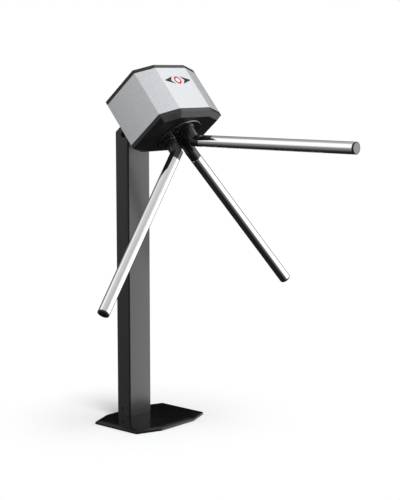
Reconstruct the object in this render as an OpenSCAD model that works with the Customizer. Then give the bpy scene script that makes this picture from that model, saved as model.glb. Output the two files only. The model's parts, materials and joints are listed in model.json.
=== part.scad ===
// Tripod turnstile on a floor post: a tilted head turns three chromed arms about one slanted shaft.
// Row frame: X points along the level arm, Y runs along the passage, Z is up.
// The origin is the centre of the base flange's underside. Millimetres.

/* [Base] */
// Width of the base along the passage
base_width = 300; // [260:5:360]
// Depth of the base across the passage
base_depth = 233; // [225:1:280]
// Length that each cut corner takes off the base's depth
corner_x = 30.5; // [20:0.5:40]
// Length that each cut corner takes off the base's width
corner_y = 78.5; // [60:0.5:90]
// Thickness of the steel flange on the floor
flange_thick = 6; // [5:0.5:8]
// Rise of the cover's sloped border
cover_rise = 2; // [1:0.5:4]
// Width of the cover's sloped border
cover_border = 20; // [10:1:24]
// Sheet thickness of the cover's top
cover_sheet = 1; // [0.8:0.1:1.5]
// Distance of the floor anchors from the base's short sides
anchor_in_x = 31.5; // [28:0.5:45]
// Distance of the floor anchors from the base's long sides
anchor_in_y = 45; // [40:1:60]
// Radius of the floor anchor holes
anchor_r = 5.5; // [4.5:0.5:6.5]
// Radius of the cable hole in the flange
floor_cable_r = 20; // [12:1:22]

/* [Post] */
// Width of the post along Y
post_width = 94; // [88:1:100]
// Depth of the post along X
post_depth = 54; // [50:1:60]
// Wall of the post tube
post_wall = 3; // [2:0.5:4]
// Outer corner radius of the post tube
post_corner = 5; // [4.5:0.5:8]
// Where the post's axis stands along X
post_x = -66; // [-70:1:-62]
// Radius of the spanner hole in the post's narrow sides
access_r = 8.7; // [7:0.1:10]
// Radius of the small earthing hole near the post's foot
earth_r = 4.7; // [3:0.1:6]
// Height of the earthing hole
earth_z = 30; // [25:1:60]
// How far the spanner hole lies from the post's middle, along X
access_shift = 6.5; // [4:0.5:10]
// How far the earthing hole lies behind the post's middle, along X
earth_shift = 5; // [0:0.5:8]

/* [Head] */
// Where the head's reference point lies along X
head_x = 46.8; // [45:0.1:49]
// Height of the head's reference point
head_z = 947.5; // [900:0.5:1000]
// Angle of the shaft below level, and of the arms to the shaft
tilt = 50; // [48:0.5:52]
// Half the width of the head
head_half = 131.5; // [128:0.5:140]
// Rise of the top face above the reference point
top_rise = 108.4; // [104:0.1:112]
// Half the width of the top face
top_half = 64.3; // [60:0.1:74]
// How far the upper facets drop to the sides
facet_drop = 24.7; // [18:0.1:30]
// Drop of the side faces' lower edges
side_drop = 59.4; // [58:0.1:64]
// Drop of the bottom face
bottom_drop = 78.7; // [78:0.1:84]
// Half the width of the bottom face
bottom_half = 78; // [70:1:84]
// Sheet thickness of the shell
shell_wall = 2; // [1.5:0.1:2.2]
// Length of the shell behind the reference point
shell_back = 64; // [62:1:70]
// Length of the shell ahead of the reference point
shell_front = 84; // [83:1:88]
// Depth of the back cover's rim
back_depth = 11; // [9:1:14]
// Depth of the bezel's upright rim
rim_depth = 12; // [10:1:16]
// Depth of the bezel's chamfer
chamfer_depth = 10; // [8:1:12]
// Width of the bezel's chamfer
chamfer_width = 16; // [12:1:18]
// Wall of the plastic covers
cover_wall = 3; // [2.5:0.5:3.5]

/* [Shaft and arms] */
// Rise of the shaft's axis above the reference point
axis_rise = 10.7; // [10:0.1:12]
// Radius of the round hub plate
hub_r = 70; // [68:0.5:72]
// How far the hub plate stands out of the bezel
hub_proud = 5; // [4:0.5:7]
// Gap between the hub plate and the bezel around it
hub_gap = 2; // [1.5:0.5:4]
// Thickness of the hub plate
hub_thick = 14; // [13:0.5:16]
// Rounded front edge of the hub plate
hub_round = 3; // [2:0.5:4]
// Radius of the circle that the arm roots stand on
root_pitch = 37; // [36:0.5:38]
// Distance from the hub plate's front to where the arms' axes meet
cross_out = 14.4; // [13:0.2:17]
// Outside radius of the arm tubes
tube_r = 17; // [15:0.5:18]
// Wall of the arm tubes
tube_wall = 1.5; // [1.2:0.1:2]
// Distance from the axes' meeting point to the start of the bright tube
tube_start = 73; // [70:0.5:80]
// Distance from the axes' meeting point to the arm's tip
arm_reach = 607.6; // [500:0.2:650]
// Radius of the collar at each arm root
collar_r = 20.5; // [19:0.5:21]
// Height of the collar at each arm root
collar_h = 4; // [3:0.5:5]
// Thickness of the tip cap's visible rim
tip_rim = 5; // [4:0.5:7]

/* [Mechanism] */
// Radius of the shaft
shaft_r = 12.5; // [12:0.5:13]
// Radius of the bearings
bearing_r = 23.5; // [22:0.5:24]
// Thickness of the bearings
bearing_t = 12; // [10:1:12]
// Radius of the notched lock wheel
wheel_r = 46; // [45:0.5:46]
// Number of notches in the lock wheel
notch_count = 12; // [6, 12]
// Depth of the notches
notch_depth = 9; // [8.8:0.1:9.5]
// Width of the notches
notch_width = 10; // [9.6:0.2:10.4]
// Radius of the encoder disc
encoder_r = 36; // [34:0.5:36]
// Radius of the damping unit
damper_r = 30; // [26:0.5:30]

/* [Indicator] */
// Distance of the indicator behind the reference point
mark_back = 18.3; // [17:0.1:22]
// Outer radius of the ring
ring_r = 13.5; // [10:0.5:14.5]
// Width of the ring's band
ring_band = 5; // [3:0.2:7]
// Distance from an arrow's tip to the top face's edge
arrow_in = 8.2; // [7:0.1:20]
// Distance from the middle to an arrow's back corners
arrow_back = 17.5; // [17:0.5:24]
// Depth of the notch in an arrow's back
arrow_hollow = 10.5; // [5:0.5:12]
// Radius at the bottom of the notch
arrow_nose = 3; // [2.5:0.5:4]
// Half the width of an arrow
arrow_half = 13.4; // [9:0.1:14]

/* [Hidden] */
$fn = 64;

// one length past a face for every cut, and one that passes the whole part
over = 1;
past = 1500;
// clearances: beside fixed pieces, around loose bolts, and a running fit
gap = 0.4;
bolt_gap = 0.2;
run_gap = 0.05;

// base
skirt_wall = 2;
cover_edge = flange_thick + cover_sheet;
anchor_x = base_depth/2 - anchor_in_x;
anchor_y = base_width/2 - anchor_in_y;
cover_round = 1.5;
base_top = cover_edge + cover_rise;
countersink_r = 10;
countersink_h = 4.5;

// post
post_right = post_x + post_depth/2;
cap_thick = 2;
cap_plug = 8;
post_clear = 4.8;
mitre_back = (head_x - post_right - (bottom_drop + post_clear)*sin(tilt))/cos(tilt);
post_top = head_z + (mitre_back - cap_thick - (head_x - post_right)*cos(tilt))/sin(tilt);

// stations along the head, all in the head's own frame, where Z points out of its back
rim_z = -shell_front - rim_depth;
face_z = rim_z - chamfer_depth;
back_z = shell_back + back_depth;
hub_front = face_z - hub_proud;
hub_back = hub_front + hub_thick;
spigot = 6;
spigot_wall = 2.5;

// sheet-metal chassis
plate = 4;
plate_set_front = 16;
plate_set_back = 14;
front_plate_z = plate_set_front - shell_front;
back_plate_z = shell_back - plate_set_back;
fit_in = shell_wall + gap;
floor_x = -bottom_drop + fit_in;
tie_r = 5;
tie_drop = 22.7;
tie_x = top_rise - tie_drop;
tie_y = top_half - tie_r - shell_wall;

// neck saddle between the post and the chassis floor
saddle_half = 40;
saddle_set = 5;
saddle_top_z = mitre_back - saddle_set;
saddle_low_z = -40;
saddle_len = 72;
saddle_foot = post_top - saddle_len;
cable_r = 11;
duct_len = (head_x - post_x)/sin(tilt);
grommet_r = 13;
grommet_wall = 3;
m8_r = 4;
m8_head_r = 7.5;
m8_head_h = 5.3;
saddle_grip = 14;
post_bolt_y = 18;
post_bolt_low = 46.5;
post_bolt_high = 23;
post_bolt_rows = [post_top - post_bolt_low, post_top - post_bolt_high];
head_bolt_y = 30;
head_bolt_back = 14;
head_bolt_front = 16;
head_bolt_rows = [saddle_top_z - head_bolt_back, saddle_low_z + head_bolt_front];

// bearing housing
shoulder = 4;
nose_wall = 9.5;
nose_r = bearing_r + nose_wall;
nose_len = 10;
nose_front = front_plate_z - nose_len;
housing_flange_r = 58;
housing_flange_t = 8;
seat_wall = 4.5;
seat_r = bearing_r + seat_wall;
housing_r = seat_r + shoulder;
housing_len = 54;
housing_end = front_plate_z + housing_len;
seat_len = 10;
seat_z = housing_end - seat_len;
bearing_set = 2;
rear_set = 4;
front_bearing_z = nose_front + bearing_set;
rear_bearing_z = housing_end - rear_set - bearing_t;
race_wall = 2.5;
shield_deep = 1;
bolt_pitch = 46;
m6_r = 3;
m6_head_r = 5;
m6_head_h = 5;

// hub and shaft
shaft_flange_t = 8;
shaft_flange_edge = 11;
shaft_flange_r = root_pitch + shaft_flange_edge;
shaft_short = 8;
shaft_end = back_plate_z - shaft_short;
m10_r = 5;
m10_head_r = 8.5;
m10_head_h = 6;
root_grip = 22;
hub_screw_r = 4;
hub_screw_head_r = 6.5;
hub_screw_head_h = 4;
socket_r = 2.9;
socket_deep = 2.2;

// arms
cross_dist = cross_out - hub_front;
knee_lip = 0.3;
spigot_len = 36;
tip_plug = 20;
grub_r = 3;
grub_in = 7;
grub_step = 18;
knee_z = -(cross_dist + root_pitch/tan(tilt));
knee_along = root_pitch/sin(tilt);
arm_angles = [0, 120, 240];

// lock wheel, pawls and solenoids
wheel_gap = 2;
wheel_z = housing_end + wheel_gap;
wheel_t = 8;
wheel_hub_r = 18;
wheel_hub_t = 6;
pawl_z = wheel_z + 0.5*gap;
pawl_t = 7;
pivot_x = -44;
pivot_up = 4;
pivot_y = wheel_r + pivot_up;
pivot_r = 9;
pin_r = 4;
pin_shoulder_r = 7;
pin_cap_t = 1.5;
spring_wire = 0.7;
spring_pitch = 1.9;
spring_turns = 4;
coil_rings = 12;
coil_sides = 6;
pin_cap_z = pawl_z + pawl_t + 2*gap + 2*spring_wire + spring_pitch*spring_turns;
nose_half = 3.5;
nose_shift = 1;
nose_gap = 1.5;
arm_clear = 12;
arm_w = 8;
arm_low = wheel_r + arm_clear;
arm_high = arm_low + arm_w;
pawl_end = 10;
pawl_bend = -26;
lock_plate_z = seat_z;
lock_plate_lift = 15.8;
lock_plate_low = floor_x + lock_plate_lift - axis_rise;
lock_plate_high = 40;
solenoid_w = 26;
solenoid_gap = 14;
solenoid_side = 13.5;
solenoid_h = 24;
solenoid_in = arm_high + solenoid_gap;
solenoid_out = head_half - solenoid_side;
lock_plate_edge = 2;
lock_plate_half = solenoid_out + lock_plate_edge;
lock_post_in = 20;
lock_post_y = lock_plate_half - lock_post_in;
plunger_r = 5;
plunger_tip_r = 3;
plunger_gap = 1;
plunger_tip_len = 8;
plunger_step = arm_high + plunger_gap + plunger_tip_len;
plunger_end = (solenoid_in + solenoid_out)/2;

// encoder and damper
encoder_gap = 8;
encoder_z = wheel_z + wheel_t + wheel_hub_t + encoder_gap;
encoder_t = 1.5;
encoder_slots = 24;
encoder_slot_w = 2;
encoder_slot_edge = 10;
encoder_slot_in = encoder_r - encoder_slot_edge;
encoder_slot_len = 6;
encoder_hub_r = 17;
encoder_hub_t = 4;
damper_gap = 8.5;
damper_z = encoder_z + encoder_t + encoder_hub_t + damper_gap;
fork_gap = 2;
fork_room = 3;
fork_wall = 6;
fork_half = 6;
fork_in = damper_r + fork_gap;
fork_slot_out = encoder_r + fork_room;
fork_out = fork_slot_out + fork_wall;
fork_slot_front = encoder_z - fork_room;
fork_slot_back = encoder_z + encoder_t + fork_room;
fork_front = fork_slot_front - fork_wall + fork_gap/2;

// boards
board_t = 1.6;
board_low = 2.2;
board_top = 32.7;
board_side = 13.5;
board_gap = 10;
board_x0 = board_low - side_drop;
board_x1 = top_rise - board_top;
board_y0 = board_side - head_half;
board_y1 = -damper_r - board_gap;
board_stand = 6;
board_edge = 6;
stand_r = 3.5;
led_drop = 11.7;
led_board_x = top_rise - led_drop;
led_in = 6;
led_half = top_half - led_in;
led_w = 34;
led_z0 = mark_back - led_w/2;
led_z1 = mark_back + led_w/2;
led_size = 5;
led_h = 2.4;
tongue_half = 18;
tongue_t = 2;
tongue_len = 30;
tongue_z = back_plate_z - tongue_len;
foot_drop = 14;
lens_flange = 1.5;
lens_edge = 2;
lens_gap = 0.1;
lens_seat = top_rise - shell_wall;

// covers' bosses and screws
bezel_boss_top = 34.7;
bezel_boss_low = 16.2;
bezel_boss_side = 33.5;
cover_boss_top = 42.7;
cover_boss_low = 10.2;
cover_boss_side = 23.5;
bezel_boss = [
  for (x = [top_rise - bezel_boss_top, bezel_boss_low - side_drop], y = [-1, 1])
    [x, y*(head_half - bezel_boss_side)]
];
cover_boss = [
  for (x = [top_rise - cover_boss_top, cover_boss_low - side_drop], y = [-1, 1])
    [x, y*(head_half - cover_boss_side)]
];
boss_r = 6;
m5_r = 2.5;
m5_head_r = 4.5;
m5_head_h = 4;
bezel_grip = 18;

// release lock in the back cover
lock_x = -36;
lock_r = 9;
lock_rim_r = 12;
lock_rim_t = 2;
lock_len = 14;
lock_front = back_z - lock_len;
plug_r = 6;
tongue_reach = 16;
tongue_w = 8;
tongue_thick = 3;
key_w = 1.6;
key_len = 8;
key_deep = 3;
switch_w = 14;
switch_l = 10;
switch_h = 7;
switch_gap = 1;

// colours
black_paint = [0.07, 0.07, 0.075];
black_plastic = [0.06, 0.06, 0.065];
silver_paint = [0.72, 0.73, 0.75];
steel = [0.62, 0.63, 0.65];
chrome_metal = [0.86, 0.87, 0.89];
cast_metal = [0.55, 0.56, 0.57];
rubber_black = [0.05, 0.05, 0.05];
board_green = [0.08, 0.3, 0.16];
mark_red = [0.85, 0.12, 0.14];
mark_green = [0.12, 0.22, 0.12];
cap_white = [0.93, 0.94, 0.94];
brass_tone = [0.75, 0.6, 0.3];

// outlines, listed counter-clockwise
base_x = base_depth/2;
base_y = base_width/2;
base_pts = [
  [base_x - corner_x, -base_y], [base_x, corner_y - base_y], [base_x, base_y - corner_y],
  [base_x - corner_x, base_y], [corner_x - base_x, base_y], [-base_x, base_y - corner_y],
  [-base_x, corner_y - base_y], [corner_x - base_x, -base_y]
];
head_pts = [
  [top_rise, -top_half], [top_rise, top_half], [top_rise - facet_drop, head_half],
  [-side_drop, head_half], [-bottom_drop, bottom_half], [-bottom_drop, -bottom_half],
  [-side_drop, -head_half], [top_rise - facet_drop, -head_half]
];
arrow_tip = top_half - arrow_in;
// an arrow that points along Y, about the indicator's middle; a notch with a round bottom
// hollows its back, and the notch's sides slope by notch_turn
nose_y = arrow_hollow - arrow_nose;
notch_turn = atan2(nose_y, arrow_half) + asin(arrow_nose/norm([arrow_half, nose_y]));
nose_steps = 5;
arrow_pts = [
  [-arrow_half, arrow_back],
  for (i = [-nose_steps:nose_steps])
    let(t = i*notch_turn/nose_steps)
      [arrow_nose*sin(t), arrow_back + nose_y + arrow_nose*cos(t)],
  [arrow_half, arrow_back],
  [0, arrow_tip]
];

// the outward unit normal of edge i, and that edge's distance from the origin
function edge_n(p, i) = let(d = p[(i + 1)%len(p)] - p[i]) [d[1], -d[0]]/norm(d);
function edge_d(p, i) = edge_n(p, i)*p[i];
// the point where the lines n1.p = d1 and n2.p = d2 cross
function cross_pt(n1, d1, n2, d2) =
  [d1*n2[1] - d2*n1[1], n1[0]*d2 - n2[0]*d1]/(n1[0]*n2[1] - n1[1]*n2[0]);
// the outline moved inwards by c along every edge's normal
function inset(p, c) = [
  for (i = [0:len(p) - 1])
    let(j = (i + len(p) - 1)%len(p))
      cross_pt(edge_n(p, j), edge_d(p, j) - c, edge_n(p, i), edge_d(p, i) - c)
];

// a place in the head's frame for a point of the row's XZ plane: [rise, along]
function to_head(x, z) = [
  (x - head_x)*sin(tilt) + (z - head_z)*cos(tilt),
  -(x - head_x)*cos(tilt) + (z - head_z)*sin(tilt)
];

module prism(pts, z0, z1) {
  translate([0, 0, z0]) linear_extrude(z1 - z0) polygon(pts);
}

// a block given by its two opposite corners
module block(a, b) {
  translate(a) cube(b - a);
}

// everything above the slopes that rise inwards from each edge at height z0
module slopes_above(pts, z0, run, rise) {
  for (i = [0:len(pts) - 1])
    rotate([0, 0, atan2(edge_n(pts, i)[1], edge_n(pts, i)[0])])
      translate([edge_d(pts, i), 0, z0])
        rotate([0, atan2(rise, run), 0])
          block([-past, -past, 0], [past, past, past]);
}

// puts its children in the head's frame: X up across the head, Z out of its back
module in_head() {
  translate([head_x, 0, head_z]) rotate([0, tilt - 90, 0]) children();
}

// puts its children on the shaft's axis
module on_axis() {
  in_head() translate([axis_rise, 0, 0]) children();
}

// puts its children on arm k's axis, which runs along Z from where the axes meet
module on_arm(k) {
  on_axis() rotate([0, 0, arm_angles[k]])
    translate([0, 0, -cross_dist]) rotate([0, 180 - tilt, 0]) children();
}

module rod(r, z0, z1, sides = $fn) {
  translate([0, 0, z0]) cylinder(r = r, h = z1 - z0, $fn = sides);
}

// a screw along Z: the shank runs from z0 to z1, and the head stands on top of z1
module screw(r, z0, z1, head_r, head_h, sides = $fn) {
  rod(r, z0, z1);
  rod(head_r, z1, z1 + head_h, sides);
}

// an upright rounded tube section, used for the post and what fits it
module round_bar(depth, width, r, z0, z1) {
  block([-depth/2 + r, -width/2, z0], [depth/2 - r, width/2, z1]);
  block([-depth/2, -width/2 + r, z0], [depth/2, width/2 - r, z1]);
  for (x = [-1, 1], y = [-1, 1])
    translate([x*(depth/2 - r), y*(width/2 - r), 0]) rod(r, z0, z1);
}

module base_flange() {
  color(steel) difference() {
    prism(inset(base_pts, skirt_wall + gap), 0, flange_thick);
    for (x = [-1, 1], y = [-1, 1])
      translate([x*anchor_x, y*anchor_y, 0]) {
        rod(anchor_r, -over, flange_thick + over);
        translate([0, 0, flange_thick - countersink_h])
          cylinder(r1 = anchor_r, r2 = countersink_r, h = countersink_h);
      }
    translate([post_x, 0, 0]) rod(floor_cable_r, -over, flange_thick + over);
  }
}

module base_cover() {
  color(black_paint) difference() {
    prism(base_pts, 0, base_top);
    slopes_above(base_pts, cover_edge, cover_border, cover_rise);
    slopes_above(base_pts, cover_edge - cover_round/2, cover_round/2, cover_round);
    prism(inset(base_pts, skirt_wall), -over, flange_thick);
    prism(inset(base_pts, cover_border), -over, base_top - cover_sheet);
    translate([post_x, 0, 0])
      round_bar(post_depth + 2*gap, post_width + 2*gap, post_corner + gap, -over, base_top + over);
  }
}

// what lies above a plane across the head, z0 behind its reference point
module behind(z0) {
  in_head() block([-past, -past, z0], [past, past, past]);
}

module post() {
  color(black_paint) difference() {
    translate([post_x, 0, 0])
      round_bar(post_depth, post_width, post_corner, flange_thick, head_z);
    translate([post_x, 0, 0])
      round_bar(post_depth - 2*post_wall, post_width - 2*post_wall, post_corner - post_wall,
        flange_thick - over, head_z + over);
    behind(mitre_back - cap_thick);
    translate([post_x + access_shift, 0, post_bolt_rows[0]]) rotate([90, 0, 0])
      rod(access_r, -post_width, post_width);
    translate([post_x - earth_shift, 0, earth_z]) rotate([90, 0, 0]) rod(earth_r, 0, post_width);
    for (y = [-1, 1], z = post_bolt_rows)
      translate([post_right, y*post_bolt_y, z]) rotate([0, 90, 0])
        rod(m8_r + bolt_gap, -post_depth/2, over);
    in_head() rotate([0, -90, 0]) rod(cable_r, 0, duct_len);
  }
}

module post_cap() {
  color(black_plastic) intersection() {
    union() {
      translate([post_x, 0, 0])
        intersection() {
          round_bar(post_depth, post_width, post_corner, 0, head_z);
          translate([-post_x, 0, 0]) behind(mitre_back - cap_thick);
        }
      difference() {
        translate([post_x, 0, 0])
          round_bar(post_depth - 2*post_wall - 2*bolt_gap, post_width - 2*post_wall - 2*bolt_gap,
            post_corner - post_wall, 0, head_z);
        translate([post_x, 0, 0])
          round_bar(post_depth - 4*post_wall, post_width - 4*post_wall,
            post_corner - post_wall, 0, head_z);
        behind(mitre_back - cap_thick);
      }
    }
    in_head() block([-past, -past, mitre_back - cap_thick - cap_plug], [past, past, mitre_back]);
  }
}

// the wedge of the saddle, drawn in the head's own rise and length
saddle_pts = [
  [floor_x, saddle_low_z], [floor_x, saddle_top_z],
  to_head(post_right, head_z + (saddle_top_z - to_head(post_right, head_z)[1])/sin(tilt)),
  to_head(post_right, saddle_foot)
];

module neck_saddle() {
  color(black_paint) difference() {
    in_head() rotate([90, 0, 0]) prism(saddle_pts, -saddle_half, saddle_half);
    in_head() rotate([0, -90, 0]) rod(cable_r, 0, past);
    for (y = [-1, 1], z = post_bolt_rows)
      translate([post_right, y*post_bolt_y, z]) rotate([0, 90, 0])
        rod(m8_r + bolt_gap, -over, saddle_grip + over);
    for (y = [-1, 1], z = head_bolt_rows)
      in_head() translate([floor_x, y*head_bolt_y, z]) rotate([0, -90, 0])
        rod(m8_r + bolt_gap, -over, saddle_grip + over);
  }
}

module post_bolts() {
  color(steel) for (y = [-1, 1], z = post_bolt_rows)
    translate([post_right, y*post_bolt_y, z]) rotate([0, -90, 0])
      screw(m8_r, -saddle_grip, post_wall, m8_head_r, m8_head_h, 6);
}

module head_bolts() {
  color(steel) in_head() for (y = [-1, 1], z = head_bolt_rows)
    translate([floor_x, y*head_bolt_y, z]) rotate([0, 90, 0])
      screw(m8_r, -saddle_grip, plate, m8_head_r, m8_head_h, 6);
}

module cable_grommet() {
  color(rubber_black) in_head() translate([floor_x, 0, 0]) rotate([0, 90, 0]) difference() {
    union() {
      rod(grommet_r - bolt_gap, 0, plate);
      rod(grommet_r + grommet_wall, plate, plate + grommet_wall/2);
    }
    rod(grommet_r - grommet_wall, -over, plate + grommet_wall);
  }
}

module chassis() {
  wall_pts = inset(head_pts, fit_in);
  color(steel) in_head() difference() {
    union() {
      prism(wall_pts, front_plate_z - plate, front_plate_z);
      prism(wall_pts, back_plate_z, back_plate_z + plate);
      block([floor_x, -bottom_half + fit_in, front_plate_z - plate/2],
        [floor_x + plate, bottom_half - fit_in, back_plate_z + plate/2]);
    }
    translate([axis_rise, 0, 0]) {
      rod(nose_r + bolt_gap, front_plate_z - plate - over, front_plate_z + over);
      for (a = [45:90:315])
        rotate([0, 0, a]) translate([bolt_pitch, 0, 0])
          rod(m6_r + bolt_gap, front_plate_z - plate - over, front_plate_z + over);
    }
    for (p = bezel_boss)
      translate(p) rod(m5_r + bolt_gap, front_plate_z - plate - over, front_plate_z + over);
    for (p = cover_boss)
      translate(p) rod(m5_r + bolt_gap, back_plate_z - over, back_plate_z + plate + over);
    for (y = [-1, 1], z = head_bolt_rows)
      translate([floor_x, y*head_bolt_y, z]) rotate([0, 90, 0])
        rod(m8_r + bolt_gap, -over, plate + over);
    translate([floor_x, 0, 0]) rotate([0, 90, 0]) rod(grommet_r, -over, plate + over);
  }
}

module tie_rods() {
  color(steel) in_head() for (y = [-1, 1])
    translate([tie_x, y*tie_y, 0]) rod(tie_r, front_plate_z, back_plate_z);
}

module bearing_housing() {
  color(cast_metal) on_axis() difference() {
    union() {
      rod(nose_r, nose_front, front_plate_z);
      rod(housing_flange_r, front_plate_z, front_plate_z + housing_flange_t);
      rod(housing_r, front_plate_z + housing_flange_t, seat_z);
      rod(seat_r, seat_z, housing_end);
    }
    rod(bearing_r, nose_front - over, front_bearing_z + bearing_t);
    rod(bearing_r, rear_bearing_z, housing_end + over);
    rod(bearing_r - shoulder, nose_front, housing_end);
    for (a = [45:90:315])
      rotate([0, 0, a]) translate([bolt_pitch, 0, 0])
        rod(m6_r + bolt_gap, front_plate_z - over, front_plate_z + housing_flange_t + over);
  }
}

module housing_bolts() {
  color(steel) on_axis() for (a = [45:90:315])
    rotate([0, 0, a]) translate([bolt_pitch, 0, 0])
      screw(m6_r, front_plate_z - plate, front_plate_z + housing_flange_t, m6_head_r, m6_head_h);
}

module bearing(z0) {
  color(steel) on_axis() difference() {
    rod(bearing_r, z0, z0 + bearing_t);
    rod(shaft_r + run_gap, z0 - over, z0 + bearing_t + over);
    for (z = [z0 - over, z0 + bearing_t - shield_deep])
      difference() {
        rod(bearing_r - race_wall, z, z + over + shield_deep);
        rod(shaft_r + race_wall, z - over, z + 2*over + shield_deep);
      }
  }
}

module front_bearing() {
  bearing(front_bearing_z);
}

module rear_bearing() {
  bearing(rear_bearing_z);
}

module bezel() {
  color(black_plastic) in_head() difference() {
    union() {
      difference() {
        prism(head_pts, face_z, -shell_front);
        mirror([0, 0, 1]) slopes_above(head_pts, -rim_z, chamfer_width, chamfer_depth);
        prism(inset(head_pts, cover_wall), rim_z + cover_wall/2, over - shell_front);
        prism(inset(head_pts, chamfer_width + cover_wall/2), face_z + cover_wall, over - shell_front);
      }
      difference() {
        prism(inset(head_pts, fit_in), rim_z + cover_wall, spigot - shell_front);
        prism(inset(head_pts, fit_in + spigot_wall), rim_z, spigot + over - shell_front);
      }
      for (p = bezel_boss)
        translate(p) rod(boss_r, face_z + cover_wall/2, front_plate_z - plate);
    }
    translate([axis_rise, 0, 0]) rod(hub_r + hub_gap, face_z - over, hub_back + hub_gap);
    for (p = bezel_boss)
      translate(p)
        rod(m5_r + bolt_gap, front_plate_z - plate - bezel_grip, front_plate_z - plate + over);
  }
}

module bezel_screws() {
  color(steel) in_head() for (p = bezel_boss)
    translate(p)
      screw(m5_r, front_plate_z - bezel_grip, front_plate_z, m5_head_r, m5_head_h);
}

// the arrow at the +Y or -Y side (side = 1 or -1), grown by a margin, from rise x0 to x1
module arrow_bar(side, margin, x0, x1) {
  translate([x0, 0, mark_back]) rotate([0, 90, 0])
    mirror([0, side > 0 ? 0 : 1, 0]) linear_extrude(x1 - x0)
      polygon(inset(arrow_pts, -margin));
}

// a disc about the ring's middle, from rise x0 to x1
module ring_disc(r, x0, x1) {
  translate([0, 0, mark_back]) rotate([0, 90, 0]) rod(r, x0, x1);
}

module shell() {
  color(silver_paint) in_head() difference() {
    prism(head_pts, -shell_front, shell_back);
    prism(inset(head_pts, shell_wall), -shell_front - over, shell_back + over);
    block([-bottom_drop - over, -saddle_half - gap, saddle_low_z - gap],
      [-bottom_drop + shell_wall + over, saddle_half + gap, saddle_top_z + gap]);
    for (side = [-1, 1])
      arrow_bar(side, lens_gap, top_rise - shell_wall - over, top_rise + over);
    ring_disc(ring_r + lens_gap, top_rise - shell_wall - over, top_rise + over);
  }
}

module back_cover() {
  color(black_plastic) in_head() difference() {
    union() {
      difference() {
        prism(head_pts, shell_back, back_z);
        prism(inset(head_pts, cover_wall), shell_back - over, back_z - cover_wall);
      }
      difference() {
        prism(inset(head_pts, fit_in), shell_back - spigot, back_z - cover_wall);
        prism(inset(head_pts, fit_in + spigot_wall), shell_back - spigot - over, back_z);
      }
      for (p = cover_boss)
        translate(p) rod(boss_r, back_plate_z + plate, back_z - cover_wall/2);
    }
    for (p = cover_boss)
      translate(p) {
        rod(m5_r + bolt_gap, back_plate_z, back_z + over);
        rod(m5_head_r + gap, back_z - m5_head_h, back_z + over);
      }
    translate([lock_x, 0, 0]) rod(lock_r + bolt_gap, shell_back, back_z + over);
  }
}

module cover_screws() {
  color(steel) in_head() for (p = cover_boss)
    translate(p) difference() {
      screw(m5_r, back_plate_z, back_z - m5_head_h, m5_head_r, m5_head_h - gap);
      rod(m5_r/2, back_z - m5_head_h/2, back_z + over, 6);
    }
}

module ring_lens() {
  color(mark_red) in_head() difference() {
    union() {
      ring_disc(ring_r, lens_seat, top_rise);
      ring_disc(ring_r + lens_edge, lens_seat - lens_flange, lens_seat);
    }
    ring_disc(ring_r - ring_band, lens_seat, top_rise + over);
  }
}

module ring_cap() {
  color(cap_white) in_head() ring_disc(ring_r - ring_band - lens_gap, lens_seat, top_rise);
}

module arrow_lens(side) {
  color(mark_green) in_head() {
    arrow_bar(side, 0, lens_seat, top_rise);
    arrow_bar(side, lens_edge, lens_seat - lens_flange, lens_seat);
  }
}

module arrow_lens_a() {
  arrow_lens(1);
}

module arrow_lens_b() {
  arrow_lens(-1);
}

module indicator_board() {
  color(board_green) in_head() {
    block([led_board_x, -led_half, led_z0], [led_board_x + board_t, led_half, led_z1]);
    for (y = [-1, 0, 1])
      translate([led_board_x + board_t, y*(arrow_back + arrow_tip)/2, mark_back])
        block([0, -led_size/2, -led_size/2], [led_h, led_size/2, led_size/2]);
  }
}

module indicator_bracket() {
  color(steel) in_head() {
    block([led_board_x - tongue_t, -tongue_half, tongue_z], [led_board_x, tongue_half, back_plate_z]);
    block([led_board_x - foot_drop, -tongue_half, back_plate_z - tongue_t],
      [led_board_x, tongue_half, back_plate_z]);
  }
}

// corners where the control board stands on its spacers
stand_pts = [
  for (x = [board_x0 + board_edge, board_x1 - board_edge],
       y = [board_y0 + board_edge, board_y1 - board_edge]) [x, y]
];
board_z = back_plate_z - board_stand;

module control_board() {
  color(board_green) in_head() difference() {
    block([board_x0, board_y0, board_z - board_t], [board_x1, board_y1, board_z]);
    for (p = stand_pts)
      translate(p) rod(m5_r/2, board_z - board_t - over, board_z + over);
  }
}

// relays, terminal strip and capacitors standing on the control board
module board_parts() {
  part_w = 16;
  part_l = 19;
  part_h = 15;
  strip_w = 10;
  strip_h = 12;
  can_r = 5;
  can_h = 13;
  low = board_z - board_t;
  color(black_plastic) in_head() {
    for (i = [0:2])
      translate([board_x0 + part_l + i*(part_w + can_r), board_y0 + part_l, 0])
        block([0, 0, low - part_h], [part_w, part_l, low]);
    block([board_x0 + part_l, board_y1 - 3*strip_w/2, low - strip_h],
      [board_x1 - part_l, board_y1 - strip_w/2, low]);
    for (i = [0:1])
      translate([board_x1 - part_l + i*3*can_r - 4*can_r, (board_y0 + board_y1)/2, 0])
        rod(can_r, low - can_h, low);
  }
}

module board_spacers() {
  color(brass_tone) in_head() for (p = stand_pts)
    translate(p) {
      rod(stand_r, board_z, back_plate_z);
      rod(m5_r/2 - bolt_gap, board_z - board_t, board_z);
      rod(stand_r, board_z - board_t - tongue_t/2, board_z - board_t);
    }
}

module lock_plate() {
  z0 = lock_plate_z;
  color(steel) on_axis() difference() {
    block([lock_plate_low, -lock_plate_half, z0],
      [lock_plate_high, lock_plate_half, z0 + plate]);
    rod(seat_r + run_gap, z0 - over, z0 + plate + over);
  }
}

module plate_posts() {
  color(steel) on_axis() for (y = [-1, 1])
    translate([0, y*lock_post_y, 0]) rod(tie_r, front_plate_z, lock_plate_z);
}

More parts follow.
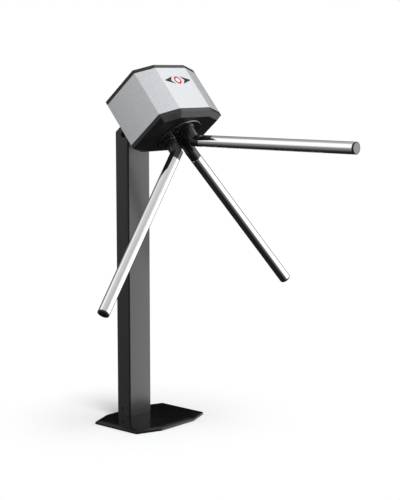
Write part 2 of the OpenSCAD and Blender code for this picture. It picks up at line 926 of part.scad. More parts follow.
module pawl_pins() {
  z0 = lock_plate_z + plate;
  color(steel) on_axis() for (y = [-1, 1])
    translate([pivot_x, y*pivot_y, 0]) {
      rod(pin_shoulder_r, z0, pawl_z - gap);
      rod(pin_r, pawl_z - gap, pin_cap_z);
      rod(pin_shoulder_r, pin_cap_z, pin_cap_z + pin_cap_t);
    }
}

// a coil of round wire about Z, as one swept tube
module coil(r, wire, z0, pitch, turns) {
  rings = [0:coil_rings*turns];
  pts = [
    for (i = rings, j = [0:coil_sides - 1])
      let(a = 360*i/coil_rings, b = 360*j/coil_sides, q = r + wire*cos(b))
        [q*cos(a), q*sin(a), z0 + pitch*i/coil_rings + wire*sin(b)]
  ];
  last = coil_rings*turns*coil_sides;
  sides = [
    for (i = [0:coil_rings*turns - 1], j = [0:coil_sides - 1])
      let(k = (j + 1)%coil_sides, m = i*coil_sides)
        [m + j, m + k, m + coil_sides + k, m + coil_sides + j]
  ];
  start = [for (j = [coil_sides - 1:-1:0]) j];
  finish = [for (j = [0:coil_sides - 1]) last + j];
  polyhedron(pts, concat([start, finish], sides));
}

module pawl_springs() {
  z0 = pawl_z + pawl_t + gap + spring_wire;
  color(steel) on_axis() for (y = [-1, 1])
    translate([pivot_x, y*pivot_y, 0])
      coil(pin_r + gap + spring_wire, spring_wire, z0, spring_pitch, spring_turns);
}

pawl_mid = pawl_z + pawl_t/2;

// a boxed pull solenoid beyond the pawl, bored for its plunger
module solenoid(side) {
  z0 = lock_plate_z + plate;
  color(black_plastic) on_axis() mirror([0, side > 0 ? 0 : 1, 0]) difference() {
    block([-solenoid_w/2, solenoid_in, z0], [solenoid_w/2, solenoid_out, z0 + solenoid_h]);
    translate([0, 0, pawl_mid]) rotate([-90, 0, 0])
      rod(plunger_r + run_gap, solenoid_in - over, plunger_end + over);
  }
}

module solenoid_a() {
  solenoid(1);
}

module solenoid_b() {
  solenoid(-1);
}

module plunger(side) {
  color(chrome_metal) on_axis() mirror([0, side > 0 ? 0 : 1, 0])
    translate([0, 0, pawl_mid]) rotate([-90, 0, 0]) {
      rod(plunger_tip_r, arm_high + plunger_gap, plunger_step);
      rod(plunger_r, plunger_step, plunger_end);
    }
}

module plunger_a() {
  plunger(1);
}

module plunger_b() {
  plunger(-1);
}

// a locking pawl: an eye on the pin, a bent arm clear of the wheel, and a square nose
module pawl(side) {
  tip = wheel_r + nose_gap;
  arm_pts = [
    [pivot_x, pivot_y - pivot_r/2], [pivot_x + pivot_r, pivot_y - pivot_r/3], [pawl_bend, arm_low],
    [pawl_end, arm_low], [pawl_end, arm_high], [pawl_bend, arm_high], [pivot_x, pivot_y + pivot_r]
  ];
  color(steel) on_axis() mirror([0, side > 0 ? 0 : 1, 0]) difference() {
    union() {
      prism(arm_pts, pawl_z, pawl_z + pawl_t);
      block([nose_shift - nose_half, tip, pawl_z],
        [nose_shift + nose_half, arm_low + over, pawl_z + pawl_t]);
      translate([pivot_x, pivot_y, 0]) rod(pivot_r, pawl_z, pawl_z + pawl_t);
    }
    translate([pivot_x, pivot_y, 0]) rod(pin_r + run_gap, pawl_z - over, pawl_z + pawl_t + over);
  }
}

module pawl_a() {
  pawl(1);
}

module pawl_b() {
  pawl(-1);
}

module encoder_sensor() {
  color(black_plastic) on_axis() difference() {
    block([fork_in, -fork_half, fork_front], [fork_out, fork_half, back_plate_z]);
    block([fork_in - over, -fork_half - over, fork_slot_front],
      [fork_slot_out, fork_half + over, fork_slot_back]);
  }
}

module damper_unit() {
  color(black_plastic) on_axis() difference() {
    rod(damper_r, damper_z, back_plate_z);
    rod(shaft_r + run_gap, damper_z - over, shaft_end + gap);
  }
}

module lock_body() {
  color(chrome_metal) in_head() translate([lock_x, 0, 0]) difference() {
    union() {
      rod(lock_r, lock_front, back_z);
      rod(lock_rim_r, back_z, back_z + lock_rim_t);
    }
    rod(plug_r + run_gap, lock_front - over, back_z + lock_rim_t + over);
  }
}

module lock_plug() {
  color(brass_tone) in_head() translate([lock_x, 0, 0]) {
    difference() {
      rod(plug_r, lock_front - gap, back_z + lock_rim_t);
      block([-key_len/2, -key_w/2, back_z + lock_rim_t - key_deep],
        [key_len/2, key_w/2, back_z + lock_rim_t + over]);
    }
    block([-tongue_w/2, -tongue_w/2, lock_front - gap - tongue_thick],
      [tongue_reach, tongue_w/2, lock_front - gap]);
  }
}

module lock_switch() {
  z0 = back_plate_z + plate;
  color(black_plastic) in_head()
    translate([lock_x - switch_w/2, tongue_reach + switch_gap, 0])
      block([0, 0, z0], [switch_w, switch_l, z0 + switch_h]);
}

module hub_plate() {
  inner_r = hub_r - hub_round;
  color(black_paint) on_axis() difference() {
    union() {
      rod(inner_r, hub_front, hub_back);
      rod(hub_r, hub_front + hub_round, hub_back);
      translate([0, 0, hub_front + hub_round]) rotate_extrude()
        translate([inner_r, 0]) circle(r = hub_round);
    }
    for (a = arm_angles) {
      rotate([0, 0, a]) translate([root_pitch, 0, 0])
        rod(m10_r + bolt_gap, hub_front - over, hub_back + over);
      rotate([0, 0, a + 60]) translate([root_pitch, 0, 0])
        rod(hub_screw_r + bolt_gap, hub_front - over, hub_back + over);
    }
  }
}

module rotor_shaft() {
  z0 = hub_back;
  color(steel) on_axis() difference() {
    union() {
      rod(shaft_flange_r, z0, z0 + shaft_flange_t);
      rod(shaft_r, z0, shaft_end);
    }
    for (a = arm_angles) {
      rotate([0, 0, a]) translate([root_pitch, 0, 0])
        rod(m10_r + bolt_gap, z0 - over, z0 + shaft_flange_t + over);
      rotate([0, 0, a + 60]) translate([root_pitch, 0, 0])
        rod(hub_screw_r + bolt_gap, z0 - over, z0 + shaft_flange_t + over);
    }
  }
}

module hub_screws() {
  color(steel) on_axis() for (a = arm_angles)
    rotate([0, 0, a + 60]) translate([root_pitch, 0, 0]) difference() {
      mirror([0, 0, 1])
        screw(hub_screw_r, -hub_back - shaft_flange_t, -hub_front, hub_screw_head_r, hub_screw_head_h);
      rod(socket_r, hub_front - hub_screw_head_h - over,
        hub_front - hub_screw_head_h + socket_deep, 6);
    }
}

module root_bolts() {
  z1 = hub_back + shaft_flange_t;
  color(steel) on_axis() for (a = arm_angles)
    rotate([0, 0, a]) translate([root_pitch, 0, 0])
      screw(m10_r, hub_front - root_grip, z1, m10_head_r, m10_head_h, 6);
}

// an arm root: collar, stub along the shaft's direction, mitred knee, sleeve and spigot
module arm_root(k) {
  color(black_plastic) on_axis() rotate([0, 0, arm_angles[k]]) difference() {
    union() {
      difference() {
        translate([root_pitch, 0, 0]) {
          rod(tube_r + knee_lip, knee_z - 2*tube_r, hub_front);
          rod(collar_r, hub_front - collar_h, hub_front);
        }
        translate([root_pitch, 0, knee_z]) rotate([0, 180 - tilt/2, 0])
          block([-past, -past, 0], [past, past, past]);
      }
      difference() {
        translate([0, 0, -cross_dist]) rotate([0, 180 - tilt, 0]) {
          rod(tube_r, knee_along - 2*tube_r, tube_start);
          rod(tube_r - tube_wall - run_gap, tube_start, tube_start + spigot_len);
        }
        translate([root_pitch, 0, knee_z]) rotate([0, 180 - tilt/2, 0])
          block([-past, -past, -past], [past, past, 0]);
      }
    }
    translate([root_pitch, 0, 0]) rod(m10_r + run_gap, hub_front - root_grip - over, hub_front + over);
    translate([0, 0, -cross_dist]) rotate([0, 180 - tilt, 0])
      translate([0, 0, tube_start + grub_step]) rotate([0, 90, 0])
        rod(grub_r + run_gap, grub_in, tube_r + over);
  }
}

module arm_root_a() {
  arm_root(0);
}

module arm_root_b() {
  arm_root(1);
}

module arm_root_c() {
  arm_root(2);
}

module arm_tube(k) {
  end = arm_reach - tip_rim;
  color(chrome_metal) on_arm(k) difference() {
    rod(tube_r, tube_start, end);
    rod(tube_r - tube_wall, tube_start - over, end + over);
    translate([0, 0, tube_start + grub_step]) rotate([0, 90, 0])
      rod(grub_r + run_gap, 0, tube_r + over);
  }
}

module arm_tube_a() {
  arm_tube(0);
}

module arm_tube_b() {
  arm_tube(1);
}

module arm_tube_c() {
  arm_tube(2);
}

module arm_tip(k) {
  end = arm_reach - tip_rim;
  color(black_plastic) on_arm(k) {
    rod(tube_r, end, arm_reach);
    rod(tube_r - tube_wall - run_gap, end - tip_plug, end);
  }
}

module arm_tip_a() {
  arm_tip(0);
}

module arm_tip_b() {
  arm_tip(1);
}

module arm_tip_c() {
  arm_tip(2);
}

module arm_screws() {
  color(steel) for (k = [0:2])
    on_arm(k) translate([0, 0, tube_start + grub_step]) rotate([0, 90, 0])
      rod(grub_r, grub_in, tube_r - tube_wall/2);
}

module lock_wheel() {
  z1 = wheel_z + wheel_t;
  color(steel) on_axis() difference() {
    union() {
      rod(wheel_r, wheel_z, z1);
      rod(wheel_hub_r, z1, z1 + wheel_hub_t);
    }
    rod(shaft_r, wheel_z - over, z1 + wheel_hub_t + over);
    for (i = [0:notch_count - 1])
      rotate([0, 0, i*360/notch_count])
        block([wheel_r - notch_depth, -notch_width/2, wheel_z - over],
          [wheel_r + over, notch_width/2, z1 + over]);
  }
}

module encoder_disc() {
  z1 = encoder_z + encoder_t;
  color(steel) on_axis() difference() {
    union() {
      rod(encoder_r, encoder_z, z1);
      rod(encoder_hub_r, z1, z1 + encoder_hub_t);
    }
    rod(shaft_r, encoder_z - over, z1 + encoder_hub_t + over);
    for (i = [0:encoder_slots - 1])
      rotate([0, 0, i*360/encoder_slots])
        block([encoder_slot_in, -encoder_slot_w/2, encoder_z - over],
          [encoder_slot_in + encoder_slot_len, encoder_slot_w/2, z1 + over]);
  }
}

base_flange();
base_cover();
post();
post_cap();
neck_saddle();
post_bolts();
head_bolts();
cable_grommet();
chassis();
tie_rods();
bearing_housing();
housing_bolts();
front_bearing();
rear_bearing();
bezel();
bezel_screws();
shell();
back_cover();
cover_screws();
ring_lens();
ring_cap();
arrow_lens_a();
arrow_lens_b();
indicator_board();
indicator_bracket();
control_board();
board_parts();
board_spacers();
lock_plate();
plate_posts();
pawl_pins();
pawl_springs();
solenoid_a();
solenoid_b();
encoder_sensor();
damper_unit();
lock_body();
lock_switch();
hub_plate();
rotor_shaft();
lock_wheel();
encoder_disc();
hub_screws();
root_bolts();
arm_root_a();
arm_root_b();
arm_root_c();
arm_tube_a();
arm_tube_b();
arm_tube_c();
arm_tip_a();
arm_tip_b();
arm_tip_c();
arm_screws();
pawl_a();
pawl_b();
plunger_a();
plunger_b();
lock_plug();
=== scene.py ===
"""A tripod turnstile: black base and post, a silver head tilted forwards, and three chromed arms on a slanted
shaft.

Everything is in metres in the row frame: X along the level arm, Y along the passage, Z up, and the origin on
the floor under the base's middle.
"""
import json

import bmesh
import bpy
import numpy as np
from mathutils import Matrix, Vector


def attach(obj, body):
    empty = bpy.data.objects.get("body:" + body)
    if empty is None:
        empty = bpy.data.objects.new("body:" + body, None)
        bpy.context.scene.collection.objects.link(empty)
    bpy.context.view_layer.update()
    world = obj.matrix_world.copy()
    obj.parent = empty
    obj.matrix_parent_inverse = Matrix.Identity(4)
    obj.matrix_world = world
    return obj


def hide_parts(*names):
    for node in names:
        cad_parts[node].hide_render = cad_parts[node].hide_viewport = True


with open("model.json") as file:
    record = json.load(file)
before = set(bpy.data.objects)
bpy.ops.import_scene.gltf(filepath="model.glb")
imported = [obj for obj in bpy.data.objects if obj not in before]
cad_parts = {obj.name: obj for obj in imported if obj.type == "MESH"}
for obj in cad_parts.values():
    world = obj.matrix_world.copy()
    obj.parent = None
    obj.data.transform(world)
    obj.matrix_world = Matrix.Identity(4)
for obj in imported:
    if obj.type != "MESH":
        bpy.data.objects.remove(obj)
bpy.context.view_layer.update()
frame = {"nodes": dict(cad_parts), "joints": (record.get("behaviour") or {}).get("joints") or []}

# Camera: it stands in front of the passage, just above the head, and looks down a little at the arms.
# The lens is long, so the post's sides stay nearly parallel.
CAMERA_AT = Vector((2.6356, -2.8018, 1.0576))
CAMERA_AIM = Vector((-0.6493, 0.7479, -0.1377))
CAMERA_LENS = 92.8

camera = bpy.data.objects.new("camera", bpy.data.cameras.new("camera"))
bpy.context.scene.collection.objects.link(camera)
bpy.context.scene.camera = camera
camera.location = CAMERA_AT
camera.rotation_mode = "QUATERNION"
camera.rotation_quaternion = CAMERA_AIM.to_track_quat("-Z", "Y")
camera.data.lens = CAMERA_LENS
bpy.context.scene.view_settings.view_transform = "Standard"

# Room: a grey studio with a soft box high on the left, dark patches, and a wall, a window and a ceiling panel
# of white card on the right, for polished metal to mirror. The camera sees plain white behind the object. A
# patch holds its azimuth and elevation, its inner and its outer angle in degrees, and its brightness.
ROOM_HEIGHTS = (
    (-1.00, 0.010), (-0.86, 0.014), (-0.74, 0.05), (-0.54, 0.16), (-0.25, 0.26),
    (0.00, 0.32), (0.50, 0.38), (0.80, 0.54), (1.00, 0.68),
)
ROOM_TINT = (0.985, 1.0, 1.018)
FAR_SIDE = ((178, 15), 10, 50, 0.15)
SOFT_BOX = ((-135, 30), 14, 40, 1.08)
WHITE_WALL = ((65, 4), 38, 70, 1.02)
WINDOW = ((47, -8), 18, 32, 2.15)
LIT_CEILING = ((70, 43), 9, 26, 2.1)
DARK_CARPET = ((132, -46), 34, 52, 0.015)
DARK_CORNER = ((133, 3), 18, 27, 0.006)
DARK_BEAM = ((106, 17), 13, 25, 0.10)
BEHIND_CAMERA = ((-47, -10), 22, 48, 0.04)
CARD_LOSS = 0.65


def add(tree, kind, inputs=(), **settings):
    """A shader node; each input is a value, or the output of another node that it is linked to."""
    node = tree.nodes.new(kind)
    for name, value in settings.items():
        setattr(node, name, value)
    for socket, value in dict(inputs).items():
        if isinstance(value, bpy.types.NodeSocket):
            tree.links.new(value, node.inputs[socket])
        else:
            node.inputs[socket].default_value = value
    return node


def heading(azimuth, elevation):
    """The unit vector (cos e cos a, cos e sin a, sin e) of azimuth a and elevation e, in degrees."""
    a, e = np.radians((azimuth, elevation))
    return (np.cos(e)*np.cos(a), np.cos(e)*np.sin(a), np.sin(e))


def room_patch(tree, colour, direction, patch, matt_ray=None):
    """Mixes a patch of one brightness into the room: whole within its inner angle, gone past its outer one.
    A card names matt_ray, and its share falls by CARD_LOSS for the rays of matt surfaces."""
    centre, inner, outer, level = patch
    dot = add(tree, "ShaderNodeVectorMath", {0: direction, 1: heading(*centre)}, operation="DOT_PRODUCT")
    share = add(tree, "ShaderNodeMapRange", {
        "Value": dot.outputs["Value"], "From Min": float(np.cos(np.radians(outer))),
        "From Max": float(np.cos(np.radians(inner))),
    }, interpolation_type="SMOOTHSTEP")
    factor = share.outputs[0]
    if matt_ray:
        kept = add(tree, "ShaderNodeMapRange", {"Value": matt_ray, "To Min": 1.0, "To Max": 1 - CARD_LOSS})
        factor = add(tree, "ShaderNodeMath", {0: factor, 1: kept.outputs[0]}, operation="MULTIPLY").outputs[0]
    mixed = add(tree, "ShaderNodeMix", {"Factor": factor, "A": colour, "B": (level, level, level, 1)},
                data_type="RGBA")
    return mixed.outputs["Result"]


def build_room():
    """Brightness follows the height z of a direction, at (z + 1)/2 of the ramp, whose ends are there from
    the start. The patches are mixed in after it, and camera and transmitted rays see white."""
    world = bpy.data.worlds.new("studio")
    bpy.context.scene.world = world
    world.use_nodes = True
    tree = world.node_tree
    tree.nodes.clear()
    direction = add(tree, "ShaderNodeTexCoord").outputs["Generated"]
    height = add(tree, "ShaderNodeSeparateXYZ", {0: direction}).outputs["Z"]
    share = add(tree, "ShaderNodeMapRange", {"Value": height, "From Min": -1.0}).outputs[0]
    ramp = add(tree, "ShaderNodeValToRGB", {0: share})
    stops = ramp.color_ramp.elements
    for z, _ in ROOM_HEIGHTS[1:-1]:
        stops.new((z + 1)/2)
    for stop, (_, level) in zip(stops, ROOM_HEIGHTS):
        stop.color = (*(level*t for t in ROOM_TINT), 1)
    colour = ramp.outputs[0]
    path = add(tree, "ShaderNodeLightPath")
    for patch in (FAR_SIDE, SOFT_BOX):
        colour = room_patch(tree, colour, direction, patch)
    for patch in (WHITE_WALL, WINDOW, LIT_CEILING):
        colour = room_patch(tree, colour, direction, patch, path.outputs["Is Diffuse Ray"])
    for patch in (DARK_BEAM, DARK_CARPET, DARK_CORNER, BEHIND_CAMERA):
        colour = room_patch(tree, colour, direction, patch)
    seen = add(tree, "ShaderNodeMath", {
        0: path.outputs["Is Camera Ray"], 1: path.outputs["Is Transmission Ray"],
    }, operation="MAXIMUM")
    white = add(tree, "ShaderNodeMix", {"Factor": seen.outputs[0], "A": colour, "B": (1, 1, 1, 1)},
                data_type="RGBA")
    background = add(tree, "ShaderNodeBackground", {"Color": white.outputs["Result"]})
    add(tree, "ShaderNodeOutputWorld", {"Surface": background.outputs[0]})


build_room()

# Key lamp: one wide soft lamp above the camera's right shoulder. It is hidden from mirrors, so that only the
# room shows in the chrome.
KEY_TARGET = (0.1, 0, 0.8)
KEY_AIM = (0.70, -0.25, 0.67)
KEY_DISTANCE = 3.2
KEY_SIZE = 1.6
KEY_POWER = 88


def build_lamp():
    """An area lamp at KEY_DISTANCE along KEY_AIM from KEY_TARGET, facing it."""
    light = bpy.data.lights.new("key", "AREA")
    light.energy, light.size = KEY_POWER, KEY_SIZE
    lamp = bpy.data.objects.new("key", light)
    bpy.context.scene.collection.objects.link(lamp)
    aim = Vector(KEY_AIM).normalized()
    lamp.location = Vector(KEY_TARGET) + aim*KEY_DISTANCE
    lamp.rotation_mode = "QUATERNION"
    lamp.rotation_quaternion = (-aim).to_track_quat("-Z", "Y")
    lamp.visible_glossy = False


build_lamp()

# Floor: a pale matt disc that takes the object's shadow and fades to white further out.
# It is staging and no part of the object.
FLOOR_RADIUS = 5.0
FLOOR_SIDES = 96
FLOOR_TONE = 0.90
FADE_START = 0.06
FADE_END = 0.50


def build_floor():
    """A disc of FLOOR_RADIUS; its matt shader gives way to plain white from FADE_START to FADE_END for the
    camera. Seen from below it is clear, so that it never hides the base's underside."""
    turn = np.linspace(0, 2*np.pi, FLOOR_SIDES, endpoint=False)
    edge = np.stack([FLOOR_RADIUS*np.cos(turn), FLOOR_RADIUS*np.sin(turn), 0*turn], -1)
    mesh = bpy.data.meshes.new("floor")
    mesh.from_pydata(edge.tolist(), [], [list(range(FLOOR_SIDES))])
    floor = bpy.data.objects.new("floor", mesh)
    bpy.context.scene.collection.objects.link(floor)
    material = bpy.data.materials.new("floor")
    material.use_nodes = True
    tree = material.node_tree
    tree.nodes.clear()
    spot = add(tree, "ShaderNodeTexCoord").outputs["Object"]
    away = add(tree, "ShaderNodeVectorMath", {0: spot}, operation="LENGTH").outputs["Value"]
    fade = add(tree, "ShaderNodeMapRange", {"Value": away, "From Min": FADE_START, "From Max": FADE_END},
               interpolation_type="SMOOTHSTEP").outputs[0]
    camera_ray = add(tree, "ShaderNodeLightPath").outputs["Is Camera Ray"]
    share = add(tree, "ShaderNodeMath", {0: fade, 1: camera_ray}, operation="MULTIPLY").outputs[0]
    matt = add(tree, "ShaderNodeBsdfDiffuse", {"Color": (FLOOR_TONE, FLOOR_TONE, FLOOR_TONE, 1)})
    white = add(tree, "ShaderNodeEmission", {"Color": (1, 1, 1, 1), "Strength": 1.0})
    both = add(tree, "ShaderNodeMixShader", {0: share, 1: matt.outputs[0], 2: white.outputs[0]})
    below = add(tree, "ShaderNodeNewGeometry").outputs["Backfacing"]
    clear = add(tree, "ShaderNodeBsdfTransparent")
    one_sided = add(tree, "ShaderNodeMixShader", {0: below, 1: both.outputs[0], 2: clear.outputs[0]})
    add(tree, "ShaderNodeOutputMaterial", {"Surface": one_sided.outputs[0]})
    mesh.materials.append(material)
    floor.visible_glossy = False


build_floor()

# Base: a flat steel flange bolted to the floor, seen from below only, under a black cover pressed from
# sheet. The cover has cut corners, an upright edge and a shallow sloped border, and its paint is smooth
# with a soft gloss.
BASE_DEPTH = 0.233
BASE_WIDTH = 0.300
BASE_CORNER = (0.0305, 0.0785)  # cut off along X and along Y
BASE_EDGE = 0.007
BASE_TOP = 0.009
BASE_BORDER = 0.020
BASE_ROUND = 0.0012
COVER_SHEET = 0.001
SKIRT_WALL = 0.002
CORNER_SOFT = 0.003
CORNER_LOSS = 0.1
POST_AT = -0.066
POST_DEPTH = 0.054
POST_WIDTH = 0.094
POST_CORNER = 0.005
POST_GAP = 0.0004
TONE_SPAN = (0.35, 0.65)
GLOSS_SPAN = (0.3, 0.7)
SHARP_ANGLE = np.radians(30)
EDGE_STEPS = 2


def coated(name, colour, second, grain, rough, bump, metallic=0.0, stretch=(1, 1, 1), detail=3.0,
           specular=0.5, ior=1.5):
    """A surface whose colour, roughness and height follow one noise: grain is its size in metres, rough the
    range of roughness, bump the height in metres, and stretch squeezes the noise along X, Y or Z."""
    material = bpy.data.materials.new(name)
    material.use_nodes = True
    tree = material.node_tree
    surface = tree.nodes["Principled BSDF"]
    spot = add(tree, "ShaderNodeTexCoord").outputs["Object"]
    spread = add(tree, "ShaderNodeMapping", {"Vector": spot, "Scale": stretch}).outputs[0]
    noise = add(tree, "ShaderNodeTexNoise", {"Vector": spread, "Scale": 1/grain, "Detail": detail}).outputs[0]
    share = add(tree, "ShaderNodeMapRange", {
        "Value": noise, "From Min": TONE_SPAN[0], "From Max": TONE_SPAN[1],
    }).outputs[0]
    tone = add(tree, "ShaderNodeMix", {"Factor": share, "A": (*colour, 1), "B": (*second, 1)},
               data_type="RGBA")
    rough_here = add(tree, "ShaderNodeMapRange", {
        "Value": noise, "From Min": GLOSS_SPAN[0], "From Max": GLOSS_SPAN[1],
        "To Min": rough[0], "To Max": rough[1],
    })
    height = add(tree, "ShaderNodeBump", {"Height": noise, "Distance": bump, "Strength": 1.0})
    tree.links.new(tone.outputs["Result"], surface.inputs["Base Color"])
    tree.links.new(rough_here.outputs[0], surface.inputs["Roughness"])
    tree.links.new(height.outputs[0], surface.inputs["Normal"])
    surface.inputs["Metallic"].default_value = metallic
    surface.inputs["Specular IOR Level"].default_value = specular
    surface.inputs["IOR"].default_value = ior
    return material


def dress(material, *nodes):
    """Gives the CAD nodes this material in place of the one that they came with."""
    for node in nodes:
        slots = frame["nodes"][node].data.materials
        slots.clear()
        slots.append(material)


def inset(points, by):
    """Each corner p of a closed outline moves to p - by (n1 + n2)/(1 + n1.n2), with n1 and n2 its sides'
    normals."""
    p = np.asarray(points, float)
    step = np.roll(p, -1, 0) - p
    normal = np.stack([step[:, 1], -step[:, 0]], -1)/np.linalg.norm(step, axis=1)[:, None]
    before = np.roll(normal, 1, 0)
    return p - by*(before + normal)/(1 + (before*normal).sum(1))[:, None]


def softened(points, radius, steps=4):
    """Each corner of a convex outline becomes an arc about the point that lies radius/sin(half its angle)
    inside it on its bisector; the arc turns from the foot on one side to the foot on the other."""
    p = np.asarray(points, float)
    back, ahead = np.roll(p, 1, 0) - p, np.roll(p, -1, 0) - p
    back /= np.linalg.norm(back, axis=1)[:, None]
    ahead /= np.linalg.norm(ahead, axis=1)[:, None]
    half = np.arccos((back*ahead).sum(1))/2
    middle = (back + ahead)/np.linalg.norm(back + ahead, axis=1)[:, None]
    centre = p + middle*(radius/np.sin(half))[:, None]
    first = p + back*(radius/np.tan(half))[:, None] - centre
    last = p + ahead*(radius/np.tan(half))[:, None] - centre
    turn = (np.pi - 2*half)[:, None, None]
    t = np.linspace(0, 1, steps + 1)[None, :, None]
    arc = (np.sin((1 - t)*turn)*first[:, None] + np.sin(t*turn)*last[:, None])/np.sin(turn)
    return (centre[:, None] + arc).reshape(-1, 2)


def skin(name, rings, closed=False):
    """A mesh over rings of equal length: point j of ring i joins points j + 1 and those of ring i + 1. A
    closed skin joins its last ring to its first, and any other has one flat face on each end."""
    rings = np.asarray(rings, float)
    m, n = rings.shape[:2]
    i, j = np.meshgrid(np.arange(m if closed else m - 1), np.arange(n), indexing="ij")
    up, on = (i + 1) % m, (j + 1) % n
    faces = np.stack([i*n + j, i*n + on, up*n + on, up*n + j], -1).reshape(-1, 4).tolist()
    if not closed:
        faces += [list(range(n)), list(range((m - 1)*n, m*n))]
    mesh = bpy.data.meshes.new(name)
    mesh.from_pydata(rings.reshape(-1, 3).tolist(), [], faces)
    work = bmesh.new()
    work.from_mesh(mesh)
    bmesh.ops.recalc_face_normals(work, faces=work.faces)
    work.to_mesh(mesh)
    work.free()
    return mesh


def cut(mesh, *tools):
    """The closed mesh less the space that the closed tool meshes fill."""
    body = bpy.data.objects.new("cut_body", mesh)
    made = [body]
    bpy.context.scene.collection.objects.link(body)
    for tool in tools:
        cutter = bpy.data.objects.new("cut_tool", tool)
        bpy.context.scene.collection.objects.link(cutter)
        made.append(cutter)
        step = body.modifiers.new("cut", "BOOLEAN")
        step.operation, step.solver, step.object = "DIFFERENCE", "EXACT", cutter
    graph = bpy.context.evaluated_depsgraph_get()
    result = bpy.data.meshes.new_from_object(body.evaluated_get(graph))
    for thing in made:
        bpy.data.objects.remove(thing)
    return result


def piece(name, mesh, material, body, stands_for, edge=0.0):
    """A finished piece: smooth but for edges over SHARP_ANGLE, which a bevel of width edge rounds, in its
    material, riding on its body and shown in place of the CAD nodes that it stands for."""
    mesh.name = name
    mesh.materials.clear()
    mesh.materials.append(material)
    mesh.polygons.foreach_set("use_smooth", np.ones(len(mesh.polygons), bool))
    mesh.set_sharp_from_angle(angle=SHARP_ANGLE)
    made = bpy.data.objects.new(name, mesh)
    bpy.context.scene.collection.objects.link(made)
    if edge:
        bevel = made.modifiers.new("edge", "BEVEL")
        bevel.width, bevel.segments, bevel.limit_method = edge, EDGE_STEPS, "ANGLE"
        bevel.angle_limit, bevel.harden_normals = SHARP_ANGLE, True
    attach(made, body)
    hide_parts(*stands_for)


def upright(outline, heights):
    """Rings of one outline, or of one outline for each height, set level at the heights."""
    flat = [outline]*len(heights) if np.ndim(outline) == 2 else outline
    return [np.column_stack([ring, np.full(len(ring), z)]) for ring, z in zip(flat, heights)]


def rectangle(x, y, half_x, half_y):
    """The corners of a rectangle about (x, y), counter-clockwise."""
    return np.array((x, y)) + np.array((half_x, half_y))*((-1, -1), (1, -1), (1, 1), (-1, 1))


def base_gloss_black():
    """Smooth black paint, with only a broad faint waviness in its gloss."""
    return coated("base_gloss_black", (0.003, 0.003, 0.0032), (0.004, 0.004, 0.0042), grain=0.02,
                  rough=(0.15, 0.20), bump=0.000008, specular=0.38)


def zinc_plate():
    """Zinc plating: bright and cloudy, with patches some millimetres wide."""
    return coated("zinc_plate", (0.50, 0.51, 0.53), (0.66, 0.67, 0.69), grain=0.006, rough=(0.28, 0.45),
                  bump=0.00003, metallic=1.0)


def build_base():
    """The cover's rings run in under the border, out to the skirt's foot, up the edge, over its rounding and
    in to the border's end. Flat faces close them, and corners lose CORNER_LOSS of the way in from their
    radius."""
    x, y = BASE_DEPTH/2, BASE_WIDTH/2
    cx, cy = BASE_CORNER
    right = [(x - cx, -y), (x, cy - y), (x, y - cy), (x - cx, y)]
    outline = right + [(-px, -py) for px, py in right]
    slope = np.arctan((BASE_TOP - BASE_EDGE)/BASE_BORDER)
    bow = np.linspace(0, np.pi/2 - slope, 5)
    profile = [
        (SKIRT_WALL, BASE_EDGE - COVER_SHEET), (BASE_BORDER, BASE_TOP - COVER_SHEET),
        (SKIRT_WALL, 0.0), (0.0, 0.0),
        *((BASE_ROUND*(1 - np.cos(b)), BASE_EDGE - BASE_ROUND*(1 - np.sin(b))) for b in bow),
        (BASE_BORDER, BASE_TOP),
    ]
    outlines = [softened(inset(outline, by), CORNER_SOFT - by*CORNER_LOSS) for by, _ in profile]
    mesh = skin("base_cover", upright(outlines, [z for _, z in profile]))
    hole = softened(rectangle(POST_AT, 0, POST_DEPTH/2 + POST_GAP, POST_WIDTH/2 + POST_GAP), POST_CORNER, 6)
    mesh = cut(mesh, skin("post_hole", upright(hole, (-BASE_TOP, 2*BASE_TOP))))
    piece("base_cover_pressed", mesh, base_gloss_black(), "stand", ["base_cover"], edge=0.0003)


build_base()
zinc = zinc_plate()
dress(zinc, "base_flange")

# Post: a black powder-coated rectangular tube, cut off at the head's slope, with a spanner hole through
# both narrow sides and an earthing hole near the foot. A thin moulded cap closes the slanted end.
POST_WALL = 0.003
POST_FOOT = 0.006
POST_CORNER_STEPS = 8
SPANNER_HOLE = (-0.0595, 0.8695, 0.0087)  # x, z and radius
EARTH_HOLE = (-0.071, 0.030, 0.0047)  # x, z and radius
SHAFT_RISE = 0.0107
CROSSING_OUT = 0.1254

shaft_joint = next(joint for joint in frame["joints"] if joint["name"] == "rotor_turn")
OUT = np.array(shaft_joint["axis"])/np.linalg.norm(shaft_joint["axis"])
SIDE = np.array((0.0, 1.0, 0.0))
RISE = np.cross(OUT, SIDE)
CROSSING = np.array(shaft_joint["pos_m"])
HEAD_AT = CROSSING - SHAFT_RISE*RISE - CROSSING_OUT*OUT


def in_head(rise, side, out):
    """The point HEAD_AT + rise RISE + side SIDE + out OUT; out is measured forwards along the shaft."""
    rise, side, out = np.broadcast_arrays(rise, side, out)
    return HEAD_AT + rise[..., None]*RISE + side[..., None]*SIDE + out[..., None]*OUT


def reach(node):
    """The lowest and highest rise, side and out of a CAD node's points in the head's frame."""
    mesh = frame["nodes"][node].data
    points = np.empty(len(mesh.vertices)*3, np.float32)
    mesh.vertices.foreach_get("co", points)
    local = (points.reshape(-1, 3) - HEAD_AT) @ np.stack([RISE, SIDE, OUT], -1)
    return local.min(0), local.max(0)


def mitred(outline, out):
    """The outline's points, each raised to where its upright line meets the head's plane at that out."""
    x, y = np.asarray(outline).T
    z = HEAD_AT[2] + (out - (x - HEAD_AT[0])*OUT[0])/OUT[2]
    return np.column_stack([x, y, z])


